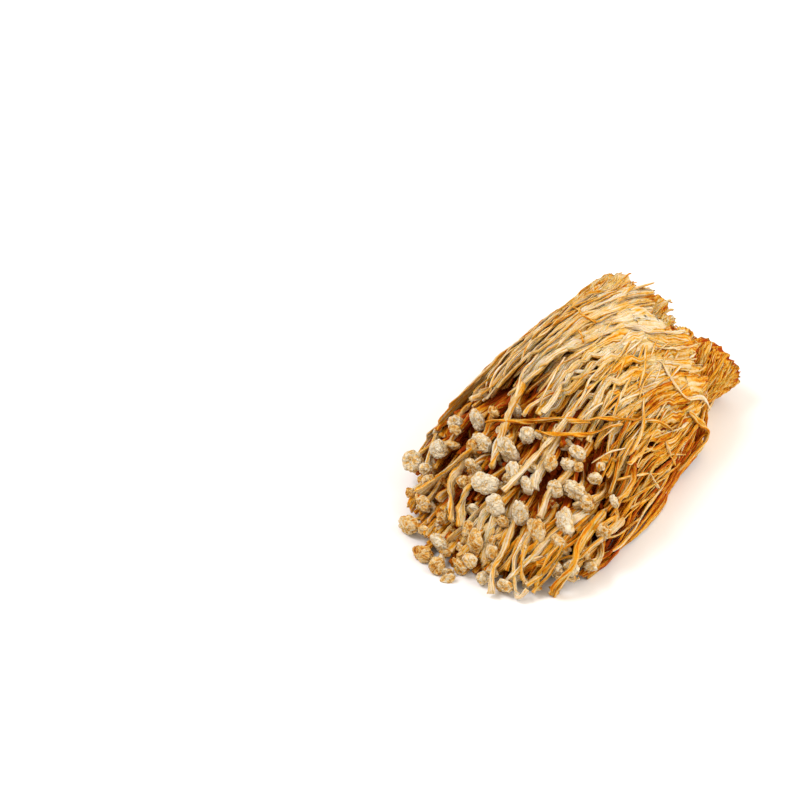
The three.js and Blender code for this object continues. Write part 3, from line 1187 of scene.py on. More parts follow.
@dataclass
class LooseStrands(Piece):
    """Thin strands that lie loosely over the others, crossing them: most on the right flank.

    Attributes:
        count: how many are scattered.
        rings: points along each.
        width: the least and greatest width.
        on_top: where the listed ones lie, as the least and greatest share of the section's size.
    """

    name: str = "loose_strands"
    count: int = 66
    rings: int = 44
    width: tuple[float, float] = (0.45, 1.05)
    on_top: tuple[float, float] = (1.035, 1.05)

    def scattered(self) -> tuple[np.ndarray, np.ndarray]:
        """Lays the scattered ones along the surface, a little aslant, with their ends tucked in.

        Returns:
            Centre lines, (n, rings, 3), and which lie on the right flank, (n, 1).
        """
        index = np.arange(self.count) + 3000
        f = along(self.rings)
        flank = (draw(index, 1) < 0.72)[:, None]
        starts = [between(low, high, draw(index, 2)) for low, high in ((3.0, 44.0), (40.0, 100.0))]
        start = np.where(flank[:, 0], *starts)
        slant = (draw(index, 3) - 0.5) * 26.0 * np.where(flank[:, 0], 1.0, 0.4)
        length = between(16.0, 52.0, draw(index, 4))
        s = start[:, None] + slant[:, None] * (f - 0.5)
        ends = FORM.in_section(np.full((self.count, 1), FACE_STATION), s[:, [0, -1]] / ARC_MM, np.ones(1))
        face = FORM.front_at(ends[..., 0], ends[..., 2]).max(1) + 4.0
        first = between(face, np.maximum(46.0 - length, face), draw(index, 5))
        y = first[:, None] + length[:, None] * f
        s = s + 2.2 * noise(60.0, index[:, None] * 3.7, y / 17.0)
        s = s + 0.5 * noise(61.0, index[:, None] * 2.3, y / 6.0)
        lift = 1.01 + 0.035 * draw(index, 6)[:, None] + 0.015 * noise(62.0, index[:, None] * 4.1, y / 8.0)
        lift = lift - 0.07 * (2 * f - 1) ** 6 - 0.07 * ease((face[:, None] + 12.0 - y) / 14.0)
        points = FORM.in_section(y, np.clip(s / ARC_MM, 0.05, math.pi - 0.05), lift)
        return raised_to(points, 0.5), flank

    def fill(self, mesher: Mesher) -> None:
        """Adds the scattered strands and the listed ones.

        Args:
            mesher: the piece's mesh.
        """
        paths, flank = self.scattered()
        index = np.arange(self.count)
        f = along(self.rings)
        width = between(*self.width, draw(index, 7))[:, None]
        width = width * uneven(0.3, 63.0, index[:, None] * 3.1, f * 8)
        tone = np.where(flank, 0.3, 0.55) + 0.4 * draw(index, 8)[:, None]
        twist = 0.4 * noise(64.0, index[:, None] * 2.1, f * 5)
        Strands(paths, width, 0.7 * width, twist, sides=6, seed=65.0).add_to(mesher, tone=tone, depth=0.0)
        for k, laid in enumerate(LAID_STRANDS):
            width = laid.width * uneven(0.3, 66.0 + k, f * 9) * (1 - 0.5 * np.abs(2 * f - 1) ** 5)
            twist = 0.3 * noise(70.0 + k, f * 4)
            path = laid.path(self.rings)
            ahead = path[..., 1] < 20.0
            least = np.where(ahead, self.on_top[0] * ease(3.0 * inside(path)), 0.0)
            path = smoothed(FORM.held_on(path, least, np.where(ahead, self.on_top[1], 9.0)), 4)
            strand = Strands(path, width, 0.55 * width, twist, seed=80.0 + k)
            strand.add_to(mesher, tone=laid.pale, depth=0.0)


@dataclass
class UndersideStems(Piece):
    """Stems that lie on the surface under the bunch.

    Attributes:
        count: how many.
        rings: points along each.
    """

    name: str = "underside_stems"
    count: int = 44
    rings: int = 40

    def fill(self, mesher: Mesher) -> None:
        """Adds the piece: lines from root to heads, side by side, lifting a little at the ends.

        Args:
            mesher: the piece's mesh.
        """
        index = np.arange(self.count)
        across = between(-0.93, 0.93, (index + 0.5) / self.count)[:, None]
        f = along(self.rings)
        front = FORM.front_at(across * 28.0, 1.0) + 4.0 + 8.0 * draw(index, 70)[:, None]
        y = between(52.0, front, f) + 0 * across
        x = FORM.along(FORM.centre_x, y) + 0.94 * FORM.along(FORM.half_width, y) * across
        x = x + 1.5 * noise(71.0, across * 7.0, y / 16.0) + 0.6 * noise(77.0, index[:, None] * 4.7, y / 7.0)
        z = FORM.foot_at(y, across) + 0.2 + 0.5 * noise(72.0, index[:, None] * 3.9, y / 11.0)
        paths = raised_to(np.stack([x, y, z], -1), 0.75)
        width = between(1.2, 2.4, draw(index, 73))[:, None] * uneven(0.3, 74.0, index[:, None], f * 8)
        tone = 0.2 + 0.6 * draw(index, 76)[:, None]
        strands = Strands(paths, width, 0.62 * width, 0.08 * noise(75.0, index[:, None] * 2.3, f * 3))
        # A little painted shade, through the depth attribute.
        strands.add_to(mesher, tone=tone, depth=0.1)


@dataclass
class MattedMiddle(Piece):
    """The mat of stems under the outer ones: one closed surface in ridges and clefts that run with them.

    Attributes:
        sides, rings: points round it and along it.
        size: its share of the section.
        set_back: how far its front lies behind the face of heads.
        ridges: for each size of ridge, its height, its width and its run, in millimetres.
    """

    name: str = "matted_middle"
    sides: int = 280
    rings: int = 130
    size: float = 0.8
    set_back: float = 21.0
    ridges: tuple[Sizes, ...] = ((1.4, 3.4, 26.0), (0.8, 1.6, 18.0), (0.4, 0.8, 12.0))

    def relief(self, s: np.ndarray, y: np.ndarray) -> np.ndarray:
        """Height of the mat: for each size of ridge, its height times (0.5 - 1.4 |noise|), in warped places.

        Args:
            s: where round the section.
            y: where along the bunch.

        Returns:
            Heights, of their common shape.
        """
        warp = 2.6 * noise(200.0, s / 16.0, y / 24.0) + 1.0 * noise(201.0, s / 6.0, y / 10.0)
        total = np.zeros(np.broadcast_shapes(s.shape, y.shape))
        for k, (height, width, run) in enumerate(self.ridges):
            total += height * (0.5 - np.abs(noise(202.0 + k, (s + warp) / width, y / run)) * 1.4)
        return total

    def fill(self, mesher: Mesher) -> None:
        """Adds the mat: an arched section over a flat foot, closed at both ends, with the relief outward.

        Args:
            mesher: the piece's mesh.
        """
        angle = (np.arange(self.sides) / self.sides * TURN)[None]
        closing = int(self.rings * 0.14)
        open_rings = self.rings - 2 * closing
        grow = np.sin(np.linspace(0.02, 1, closing) * math.pi / 2)
        rho = np.concatenate([grow, np.ones(open_rings), grow[::-1]])[:, None] * self.size
        f = np.concatenate([np.zeros(closing), np.linspace(0, 1, open_rings), np.ones(closing)])[:, None]
        head = FORM.in_section(np.full((1, 1), FACE_STATION), angle, rho)
        front = FORM.front_at(head[..., 0], np.maximum(head[..., 2], 0.0)) + self.set_back
        y = between(46.0, front, f)
        rho = rho * (1.0 - 0.3 * ease((y - 26.0) / 20.0) * (angle < 1.9))
        relief = self.relief(angle * ARC_MM, y)
        arch = FORM.in_section(y, angle, rho * (1 + relief / 30.0))
        across = np.cos(angle) * rho
        foot = np.maximum(FORM.foot_at(y, across) + 0.8 + 0.25 * relief, 0.9)
        z = np.where(np.sin(angle) < 0, foot, np.maximum(arch[..., 2], foot))
        lumps = 2.5 * noise(210.0, arch[..., 0] / 3.0, z / 3.0) * ease((f - 0.8) / 0.2)
        points = closed(np.stack([arch[..., 0], y + lumps, z], -1)[None])
        uv = joined(np.arange(self.sides + 1)[None, None] * 0.74, f[None] * 90.0)
        # Painted shade: through depth and ridge, the mat is darker in its clefts and towards the face, and
        # paler on its ridges.
        shade = 0.55 - 0.3 * relief + 0.35 * ease((20.0 - y) / 40.0)
        tone = pale_at(points[0])
        mesher.add(
            points.reshape(-1, 3),
            tube_faces(1, self.rings, self.sides),
            corner_uv(uv),
            tone=tone.reshape(-1),
            depth=np.clip(shade, 0, 1).reshape(-1),
            ridge=np.clip(0.4 + 0.35 * relief, 0, 1).reshape(-1),
        )


@dataclass
class PackedStems(Piece):
    """Stems packed inside the bunch, whose broken ends fill the face behind the heads.

    Attributes:
        count: how many.
        rings, whole_rings: points kept along the front half of each, and points along the whole of it.
        set_back: the least and greatest distance of an end behind the face.
    """

    name: str = "packed_stems"
    count: int = 340
    rings: int = 18
    set_back: tuple[float, float] = (0.5, 9.0)
    whole_rings: int = 60

    def paths(self) -> np.ndarray:
        """Lays them through the bunch and keeps the front half of each, to its broken end.

        Returns:
            Centre lines, (n, rings, 3).
        """
        index = np.arange(self.count) + 4000
        rho = np.sqrt((np.arange(self.count) + 0.5) / self.count) * 0.97
        angle = math.pi * between(0.02, 0.98, (np.arange(self.count) * EVEN_ROUND) % 1.0)
        low = ease((9.0 - FORM.in_section(FACE_STATION, angle, rho)[:, 2]) / 9.0)
        late = between(*self.set_back, draw(index, 1)) * (1.0 - 0.5 * low) + 0.5
        paths = StemRun(index, self.whole_rings, angle=angle, rho=rho, late=late).paths()
        kept = np.linspace(self.whole_rings // 2, self.whole_rings - 1, self.rings).round().astype(int)
        return sunk(paths[:, kept])

    def fill(self, mesher: Mesher) -> None:
        """Adds the stems, with painted shade inside the bunch, some darker at random, and pale at their ends.

        Args:
            mesher: the piece's mesh.
        """
        index = np.arange(self.count) + 4000
        paths = self.paths()
        f = along(self.rings)
        width = between(1.4, 2.7, draw(index, 2))[:, None] * uneven(0.25, 90.0, index[:, None] * 1.7, f * 6)
        width = width * (1 + 0.35 * ease((f - 0.9) / 0.1))
        twist = 0.4 * noise(91.0, index[:, None] * 2.3, f * 2)
        strands = Strands(paths, width, 0.72 * width, twist, sides=8, seed=92.0)
        tone = between(0.15, 0.85, draw(index, 3))[:, None]
        # Painted shade: depth grows further inside the bunch, and a random amount is added for each stem.
        depth = inside(paths) + 0.55 * draw(index, 4)[:, None] ** 2
        strands.add_to(mesher, tone=tone, depth=np.minimum(depth, 1.0))


class CapForm(Enum):
    """What a cap dried into: how long and how high it is, as shares of a ball."""

    DOME = (1.0, 0.85)
    LONG = (1.7, 0.8)
    FLAT = (1.25, 0.55)
    FOLDED = (1.35, 0.7)


@dataclass(frozen=True)
class Head:
    """A head that stands out in the face, listed one by one.

    Attributes:
        x, z: its place across and up in the face.
        radius: its cap's radius.
        form: what the cap dried into.
        pale: how pale its skin is, 0 to 1.
        proud: how far it stands before the face.
    """

    x: float
    z: float
    radius: float
    form: CapForm = CapForm.DOME
    pale: float = 0.85
    proud: float = 0.0


# The heads that stand out in the face.
HEADS = (
    Head(-27, 19, 2.6),
    Head(-20, 23, 2.6, CapForm.LONG, 1.0, 1.0),
    Head(-15, 21, 3.0, CapForm.FOLDED, 0.8, 1.0),
    Head(-3, 26, 2.6, CapForm.DOME, 1.0, 1.0),
    Head(-28, 14, 2.8, CapForm.DOME, 1.0),
    Head(-35, 8, 3.2, CapForm.DOME, 0.7),
    Head(-29, 10, 2.0, CapForm.DOME, 0.7),
    Head(-14, 17, 2.2, CapForm.LONG, 0.6),
    Head(-6, 23, 2.9, CapForm.LONG, 0.95, 1.5),
    Head(11, 23, 2.1, CapForm.DOME, 0.8),
    Head(12, 25, 2.2, CapForm.FOLDED, 0.8),
    Head(-7, 17, 3.4, CapForm.FLAT, 1.0, 2.0),
    Head(-1, 20, 2.8, CapForm.FOLDED, 0.9, 1.5),
    Head(4, 19, 2.9, CapForm.FLAT, 0.95, 1.5),
    Head(-1, 15, 3.2, CapForm.DOME, 0.85, 2.0),
    Head(6, 15, 3.2, CapForm.LONG, 0.9, 2.0),
    Head(-14, 14, 2.6, CapForm.DOME, 0.35, -1.0),
    Head(11, 19, 2.5, CapForm.DOME, 0.75),
    Head(16, 19, 3.0, CapForm.FOLDED, 0.75),
    Head(19, 21, 2.0, CapForm.DOME, 0.6),
    Head(20, 17, 2.5, CapForm.DOME, 0.45),
    Head(18, 14, 3.5, CapForm.FOLDED, 0.85, 1.0),
    Head(-23, 7, 2.6, CapForm.DOME, 0.5),
    Head(-24, 3, 3.2, CapForm.FOLDED, 0.4),
    Head(-15, 8, 1.9, CapForm.DOME, 0.3),
    Head(-6, 9, 2.2, CapForm.FLAT, 0.3),
    Head(-12, 5, 3.1, CapForm.FLAT, 0.95),
    Head(-2, 8, 2.9, CapForm.FOLDED, 0.35),
    Head(2, 9, 1.4, CapForm.LONG, 0.4),
    Head(2, 12, 2.0, CapForm.DOME, 0.3, -1.0),
    Head(12, 12, 3.8, CapForm.FLAT, 0.45, 0.5),
    Head(11, 9, 1.8, CapForm.DOME, 0.4),
    Head(19, 10, 3.0, CapForm.FOLDED, 0.55),
    Head(-15, 2, 2.8, CapForm.FOLDED, 0.1),
    Head(-9, 2, 2.4, CapForm.DOME, 0.25),
    Head(-3, 4, 1.6, CapForm.LONG, 0.4),
    Head(21, 6, 2.0, CapForm.FLAT, 0.6),
    Head(24, 6, 2.3, CapForm.DOME, 0.8),
    Head(11, 3, 2.1, CapForm.FOLDED, 0.5),
    Head(-30, 5, 1.7, CapForm.DOME, 0.2, -1.0),
    Head(-10, 28, 1.8, CapForm.FOLDED, 0.8),
    Head(19, 23, 1.3, CapForm.DOME, 0.7),
    Head(26, 17, 1.6, CapForm.FOLDED, 0.9),
    Head(27, 12, 2.4, CapForm.DOME, 0.45),
)

# Bare stems over the face: first those that lean down from its lower front, then those on its slope.
LAID_STEMS = (
    Laid(2.1, 0.8, ((4, -38, 12), (6, -46, 9), (6, -49, 7), (6, -52, 6), (7, -55, 4), (9, -58, 1))),
    Laid(
        2.0,
        1.0,
        ((9, -38, 11), (10, -46, 9), (10, -48, 7), (12, -51, 5), (14, -54, 2), (16, -55, 1), (17, -52, 3)),
    ),
    Laid(1.5, 0.9, ((20, -40, 9), (16, -44, 8), (15, -46, 8), (12, -48, 7))),
    Laid(1.4, 0.4, ((24, -38, 8), (20, -43, 8), (18, -45, 8), (16, -47, 7))),
    Laid(2.1, 0.8, ((20, -38, 8), (19, -46, 6), (18, -48, 5), (16, -52, 3))),
    Laid(1.7, 0.6, ((21, -37, 9), (20, -43, 8), (20, -47, 5), (19, -49, 4), (18, -52, 2))),
    Laid(1.5, 0.5, ((8, -39, 11), (9, -46, 9), (9, -48, 7), (9, -51, 5))),
    Laid(1.0, 0.8, ((18, -42, 6), (21, -46, 5), (25, -44, 4), (27, -42, 4))),
    Laid(2.8, 0.8, ((-12, -8, 33), (-11, -17, 28), (-10, -23, 23), (-8, -31, 19))),
    Laid(1.4, 0.9, ((6, -12, 33), (4, -21, 27), (2, -28, 23), (-1, -37, 18))),
    Laid(2.2, 0.7, ((-12, -14, 24), (-17, -27, 19), (-22, -33, 13), (-27, -39, 7))),
    Laid(2.6, 0.8, ((-18, -22, 17), (-18, -36, 13), (-15, -40, 11), (-11, -46, 9))),
    Laid(2.6, 0.75, ((-12, -22, 18), (-12, -37, 14), (-11, -42, 11), (-8, -46, 9))),
    Laid(2.8, 1.0, ((5, -12, 29), (5, -23, 24), (5, -28, 21), (6, -32, 19))),
    Laid(2.2, 0.85, ((13, -12, 26), (12, -25, 21), (10, -31, 18), (11, -37, 14))),
    Laid(2.3, 0.8, ((29, -22, 12), (27, -32, 10), (23, -41, 7))),
)


def drooping(count: int) -> list[Laid]:
    """Bare stems that curl down from the lower front to the surface in front of the bunch.

    Each leaves the face, swings aside to its own distance out and ends close to the floor, the lower the
    wider it is. Those at the right swing inwards only.

    Args:
        count: how many, from left to right.

    Returns:
        The stems.
    """
    stems = []
    for k in range(count):
        across, aside, reach, rise, wide, pale, sway = (float(draw(k, 110.0 + use)) for use in range(7))
        x = between(-6.0, 25.0, (k + across) / count)
        out = 45.0 + 10.0 * reach * ease((24.0 - abs(x - 7.0)) / 20.0)
        aside = 13.0 * (aside - 0.5 - 0.5 * ease((x - 12.0) / 10.0))
        sway = 7.0 * (sway - 0.5)
        places = (
            (x - 0.6 * aside, -24.0, 14.5),
            (x, -38.0, 10.8 + 1.6 * rise),
            (x + 0.2 * aside + sway, between(-39.0, -out, 0.5), 8.0 + 2.5 * rise),
            (x + 0.7 * aside + 0.4 * sway, -out, 4.0 + 2.5 * rise),
            (x + 0.9 * aside, -out - 0.6, 1.4 + 3.0 * rise),
            (x + 1.1 * aside - 0.3 * sway, -out + 0.4, 0.4 + 3.5 * rise * (1.0 - wide)),
        )
        stems.append(Laid(between(1.2, 2.5, wide), between(0.25, 0.95, pale), places))
    return stems


@dataclass
class FruitingStems(Piece):
    """Stems inside the bunch whose free ends carry the caps, and bare ones.

    Attributes:
        scattered: how many carry small caps.
        bare: how many end bare inside the face.
        drooped: how many curl down in front of it.
        rings, whole_rings: points kept along the free part of each, and points along the whole of it.
        clear: how far a scattered head is at least from each listed one.
        beside: how far a bare tip is at least from each listed head, seen from the front.
        droop_lean: how far back a listed head stands for each millimetre up.
        crumple: depth of the uneven shrinkage of the stems laid over the face.
    """

    name: str = "fruiting_stems"
    scattered: int = 60
    bare: int = 30
    drooped: int = 28
    rings: int = 36
    whole_rings: int = 60
    clear: float = 5.2
    beside: float = 2.2
    droop_lean: float = 0.35
    crumple: float = 0.42

    def free_part(self, index: np.ndarray, **where: np.ndarray) -> np.ndarray:
        """The last rings of the centre lines of the stems with these indices and places, (n, rings, 3)."""
        return StemRun(index, self.whole_rings, **where).paths()[:, -self.rings :]

    def paths(self) -> tuple[np.ndarray, np.ndarray]:
        """Lays the stems, and leaves out those that would end in or before a listed head.

        Returns:
            Centre lines, (n, rings, 3), of those with heads, the listed ones first, and of the bare ones.
        """
        x, z, proud = (np.array([getattr(head, key) for head in HEADS], float) for key in ("x", "z", "proud"))
        tips = np.stack([x, FORM.front_at(x, z) + self.droop_lean * z - proud + 1.0, z], -1)
        half, tall = FORM.along(FORM.half_width, tips[:, 1]), FORM.along(FORM.height, tips[:, 1])
        angle = np.clip(np.arctan2(z / tall, x / half), 0.1, math.pi - 0.1)
        rho = np.clip(np.hypot(z / tall, x / half), 0.1, 0.97)
        laid = self.free_part(np.arange(len(HEADS)) + 700, angle=angle, rho=rho, tips=tips)
        index = np.arange(self.scattered)
        loose = self.free_part(index, late=1.0 + 6.0 * draw(index, 51))
        apart = np.linalg.norm(loose[:, None, -1] - tips[None], axis=-1).min(1)
        index = np.arange(self.bare) + 800
        bare = self.free_part(index, late=9 * draw(index, 52))
        aside = np.linalg.norm(bare[:, None, -1, ::2] - tips[None, :, ::2], axis=-1).min(1)
        return np.concatenate([laid, loose[apart > self.clear]]), bare[aside > self.beside]

    def fill(self, mesher: Mesher) -> None:
        """Adds the stems with heads, the bare ones and those laid over the face, wider at their tips.

        Args:
            mesher: the piece's mesh.
        """
        paths = sunk(np.concatenate(self.paths()))
        index = np.arange(len(paths))
        f = along(self.rings)
        width = between(1.4, 2.5, draw(index, 82))[:, None] * uneven(0.25, 83.0, index[:, None] * 3.1, f * 9)
        width = width * (1 + 0.4 * ease((f - 0.93) / 0.07))
        twist = 0.35 * noise(84.0, index[:, None] * 2.7, f * 4)
        tone = between(0.35, 1.0, draw(index, 85))[:, None]
        strands = Strands(paths, width, 0.72 * width, twist, sides=8, seed=86.0)
        # Painted shade: the stems grow darker further inside the bunch.
        strands.add_to(mesher, tone=tone, depth=0.8 * inside(paths))
        for k, laid in enumerate([*LAID_STEMS, *drooping(self.drooped)]):
            width = laid.width * uneven(0.2, 87.0 + k, f * 7) * (1 + 0.35 * ease((f - 0.88) / 0.12))
            path = laid.path(self.rings)
            fluted = Strands(
                path,
                width,
                0.6 * width,
                0.12 * noise(88.0 + k, f * 3),
                grooves=(-0.45, 0.4),
                crumple=self.crumple,
                sides=14,
                seed=89.0 + k,
            )
            # Painted shade: these stems too grow darker further inside the bunch.
            fluted.add_to(mesher, tone=laid.pale, depth=0.8 * inside(path))


@dataclass
class Caps(Piece):
    """Wrinkled caps at the tips of the stems.

    Attributes:
        name: the piece's name.
        around, rings: points round each cap and from its top to its foot.
        paths: the stems' centre lines, (n, rings, 3).
        radius: each cap's radius.
        forms: what each cap dried into.
        pale: how pale each cap is, 0 to 1.
        seed: the number of the first cap, for its draws.
    """

    name: str
    around: int
    rings: int
    paths: np.ndarray
    radius: np.ndarray
    forms: list[CapForm]
    pale: np.ndarray
    seed: int = 0

    def fill(self, mesher: Mesher) -> None:
        """Adds a cap at each path's end.

        A cap is a sphere made oval, domed in front and flatter behind, lumped and creased by low noise,
        dented at its top, and raised into a net of thin ridges, e^-(n/t)², where noise n over its surface
        passes 0, for a thinness t.

        Args:
            mesher: the piece's mesh.
        """
        count = len(self.paths)
        index = np.arange(count) + self.seed
        tip = self.paths[:, -1]
        heading = unit(tip - self.paths[:, -4])
        tilt = np.stack([draw(index, 21) - 0.5, np.full(count, -0.3), draw(index, 22) - 0.3], -1) * 1.1
        up = unit(heading + tilt)
        side = unit(np.cross(up, np.stack([draw(index, 90), draw(index, 91), draw(index, 92)], -1) - 0.47))
        other = np.cross(up, side)
        shape = (count, self.rings, self.around)
        which = index[:, None, None].astype(float)
        size = self.radius[:, None, None]
        theta = (np.arange(self.around) / self.around * TURN)[None, None]
        phi = np.linspace(0, math.pi, self.rings)[None, :, None]
        ball = (np.sin(phi) * np.cos(theta), np.cos(phi), np.sin(phi) * np.sin(theta))
        x, y, z = (np.broadcast_to(value, shape) for value in ball)
        place = [value * size for value in (x, y, z)]
        warp = 0.5 * noise(93.0, place[0] * 0.9 + which * 3, place[1] * 0.9, place[2] * 0.9)
        net = noise(94.0, place[0] * 0.8 + which * 5 + warp, place[1] * 0.8 + warp, place[2] * 0.8)
        spoke = noise(97.0, np.cos(theta) * 2.6 + which * 9 + warp, np.sin(theta) * 2.6, y * 1.1 + warp)
        fine = noise(95.0, place[0] * 1.4 + which * 7, place[1] * 1.4 + warp, place[2] * 1.4)
        flat_part = np.ones(shape)
        for share, thin, wrinkle in ((0.95, 0.2, net), (0.8, 0.16, spoke), (0.6, 0.16, fine)):
            flat_part = flat_part * (1.0 - share * np.exp(-((wrinkle / thin) ** 2)))
        ridge = 1.0 - flat_part
        lumps = noise(96.0, x * 1.3 + which * 11, y * 1.3, z * 1.3)
        facets = np.abs(noise(98.0, x * 1.6 + which * 13, y * 1.6, z * 1.6))
        length, flat = np.array([form.value for form in self.forms]).T[..., None, None]
        dent = 1 - 0.45 * draw(which, 29) * np.exp(-(np.hypot(x, z) / 0.4) ** 2) * (y > 0)
        swell = size * (0.86 + 0.14 * lumps + 0.24 * facets) + 0.17 * np.minimum(size, 2.5) * (ridge - 0.4)
        height = np.where(y > 0, flat, 0.6 * flat) * y * dent
        points = (
            tip[:, None, None]
            + side[:, None, None] * (x * swell * length**0.75)[..., None]
            + other[:, None, None] * (z * swell / length**0.35)[..., None]
            + up[:, None, None] * (height * swell)[..., None]
        )
        points = closed(raised_to(points, FLOOR_GAP))
        uv = joined(np.linspace(0, 1, self.around + 1)[None, None], phi / math.pi + which)
        # The crease attribute carries painted shade: low in the net's creases, and lower on the side towards
        # the stem, under the cap.
        crease = ridge - 0.3 * (y < -0.2)
        mesher.add(
            points.reshape(-1, 3),
            tube_faces(count, self.rings, self.around)[:, ::-1],
            corner_uv(uv)[:, ::-1],
            crease=crease.reshape(-1),
            tone=np.broadcast_to(self.pale[:, None, None], shape).reshape(-1),
        )


@dataclass(frozen=True)
class Lobe:
    """One torn lobe of matted stem bases at the root end.

    Attributes:
        x, half_width: its middle at the torn end, and its half width.
        low, high: its foot and its top.
        front, back: where it leaves the bunch, and where its torn end is.
        turn: how far it moves to the left for each millimetre back.
        pale: how pale it is, 0 to 1.
        sweep: how far its fibres turn round it from end to end, in radians.
        ragged: how ragged its torn end is.
    """

    x: float
    half_width: float
    low: float
    high: float
    front: float
    back: float
    turn: float
    pale: float
    sweep: float
    ragged: float = 1.0


@dataclass
class RootEnd(Piece):
    """The torn root end: lobes of matted stem bases, with fibres over them.

    Attributes:
        lobes: from left to right.
        rings, sides: points along and round each lobe.
        fibres, fibre_rings: how many strands lie over each, and points along one.
        stem_end: how far apart the torn stem ends stand.
        end_grain: how much the fibre pattern is drawn together on the torn end, where it is seen end on.
    """

    name: str = "root_end"
    lobes: tuple[Lobe, ...] = (
        Lobe(-16, 14, 3, 28, 34, 66, -0.1, 0.62, 0.2),
        Lobe(-1, 12, 2, 25, 34, 56, -0.1, 0.55, 0.4),
        Lobe(12.5, 12, 0.6, 21, 26, 58, -0.12, 0.34, 0.9, 0.3),
    )
    rings: int = 64
    sides: int = 120
    fibres: int = 90
    fibre_rings: int = 26
    stem_end: float = 1.5
    end_grain: float = 18.0

    def surface(self, lobe: Lobe, share: np.ndarray, angle: np.ndarray, size: np.ndarray) -> np.ndarray:
        """Points on a lobe: an oval section that grows to the torn end, which sags and is ragged.

        Args:
            lobe: the lobe.
            share: how far along it, 0 at the bunch and 1 at the torn end.
            angle: where round it.
            size: the share of its own section.

        Returns:
            Points, (rings, sides, 3).
        """
        ragged = 2.6 * noise(300.0 + lobe.x, np.cos(angle) * 3.0, np.sin(angle) * 3.0)
        ragged = ragged + 1.3 * noise(301.0 + lobe.x, np.cos(angle) * 9.0, np.sin(angle) * 9.0)
        y = between(lobe.front, lobe.back, share) + (lobe.ragged * ragged - 1.2) * share
        grown = size * between(0.84, 1.0, ease(share))
        tall = (lobe.high - lobe.low) / 2 * (1 - 0.2 * share)
        x = lobe.x + lobe.half_width * grown * np.cos(angle) - lobe.turn * (y - lobe.back)
        z = (lobe.low + lobe.high) / 2 - 1.5 * share + tall * grown * np.sin(angle)
        return joined(x, y, z)

    def build_lobe(self, mesher: Mesher, lobe: Lobe) -> None:
        """Adds one lobe's mat: ridged along its fibres, with packed stem ends over its hollow torn end.

        Args:
            mesher: the mesh.
            lobe: the lobe.
        """
        angle = (np.arange(self.sides) / self.sides * TURN)[None]
        closing = self.rings // 3
        share = np.concatenate([np.linspace(0, 1, self.rings - closing), np.ones(closing)])[:, None]
        size = np.concatenate([np.ones(self.rings - closing), np.linspace(1, 0.01, closing + 1)[1:]])
        size = size[:, None]
        torn_end = size < 1
        swept = angle + lobe.sweep * share
        fibre = noise(310.0 + lobe.x, np.cos(swept) * 12.0, np.sin(swept) * 12.0, share * 5.0)
        fine = noise(311.0 + lobe.x, np.cos(swept) * 26.0, np.sin(swept) * 26.0, share * 8.0)
        relief = 0.5 - np.abs(fibre) * 1.3 + 0.5 * (0.5 - np.abs(fine))
        points = self.surface(lobe, share, angle, size * (1 + 0.09 * relief))
        x, z = points[..., 0].copy(), points[..., 2].copy()
        ends = packed_ends(330.0 + lobe.x, x / self.stem_end, z / self.stem_end)
        torn = ends + 1.6 * noise(331.0, x / 4.0, z / 4.0) + 0.6 * noise(332.0, x / 1.3, z / 1.3)
        points[..., 1] += np.where(torn_end, torn - 3.6 * (1 - size) ** 0.7 - 0.6, 0.0)
        points = closed(raised_to(points, 0.05)[None])
        behind = share * (lobe.back - lobe.front)
        around = np.linspace(0, 1, self.sides + 1)[None] * TURN * lobe.half_width
        side_uv = joined(around - 0.5 * behind, behind + 40 * lobe.x)
        end_uv = np.stack([x, self.end_grain * z], -1)
        end_uv = np.concatenate([end_uv, end_uv[:, :1]], 1)
        uv = np.where(torn_end[..., None], end_uv, side_uv)[None]
        # Painted shade: darker in the torn end's hollow and between its stem ends and in the grooves along
        # the sides, paler on the stem ends and ridges.
        hollow = ease(4.0 * (1.0 - size)) * (0.75 - 0.9 * ends)
        depth = np.where(torn_end, hollow, 0.25 - 0.7 * relief)
        ridge = np.where(torn_end, 0.1 + 0.9 * ends, 0.5 + 0.6 * relief)
        mesher.add(
            points.reshape(-1, 3),
            tube_faces(1, self.rings, self.sides)[:, ::-1],
            corner_uv(uv)[:, ::-1],
            tone=np.full(self.rings * self.sides, lobe.pale),
            depth=np.clip(depth, 0, 1).reshape(-1),
            ridge=np.clip(ridge, 0, 1).reshape(-1),
        )

    def add_fibres(self, mesher: Mesher, lobe: Lobe) -> None:
        """Adds strands over one lobe, from its neck to past its torn edge.

        Args:
            mesher: the mesh.
            lobe: the lobe.
        """
        index = np.arange(self.fibres) + int(lobe.x) * 100 + 9000
        f = along(self.fibre_rings)
        angle = between(-0.25, math.pi + 0.25, draw(index, 1))[:, None]
        angle = angle + lobe.sweep * (f - 0.6) + 0.1 * noise(320.0, index[:, None] * 3.3, f * 4.0)
        start = between(0.0, 0.5, draw(index, 2))[:, None]
        share = start + (between(0.85, 1.0 + 0.1 * lobe.ragged, draw(index, 3))[:, None] - start) * f
        lift = 1.0 + 0.03 * draw(index, 4)[:, None] + 0.02 * noise(321.0, index[:, None], f * 5)
        points = self.surface(lobe, share, angle, lift)
        points[..., 2] -= 1.5 * ease((share - 1.0) * 8)
        points = raised_to(points, 0.4)
        width = between(0.5, 1.5, draw(index, 5) ** 2)[:, None]
        width = width * uneven(0.3, 322.0, index[:, None] * 2.7, f * 6)
        tone = np.clip(lobe.pale + 0.5 * (draw(index, 6)[:, None] - 0.5), 0, 1)
        twist = 0.15 * noise(323.0, index[:, None] * 1.9, f * 3)
        strands = Strands(points, width, 0.5 * width, twist, sides=6, seed=324.0)
        # A little painted shade, through the depth attribute.
        strands.add_to(mesher, tone=tone, depth=0.1)

    def fill(self, mesher: Mesher) -> None:
        """Adds the lobes and their fibres into one piece.

        Args:
            mesher: the piece's mesh.
        """
        for lobe in self.lobes:
            self.build_lobe(mesher, lobe)
            self.add_fibres(mesher, lobe)


# ---------------------------------------------------------------- the studio


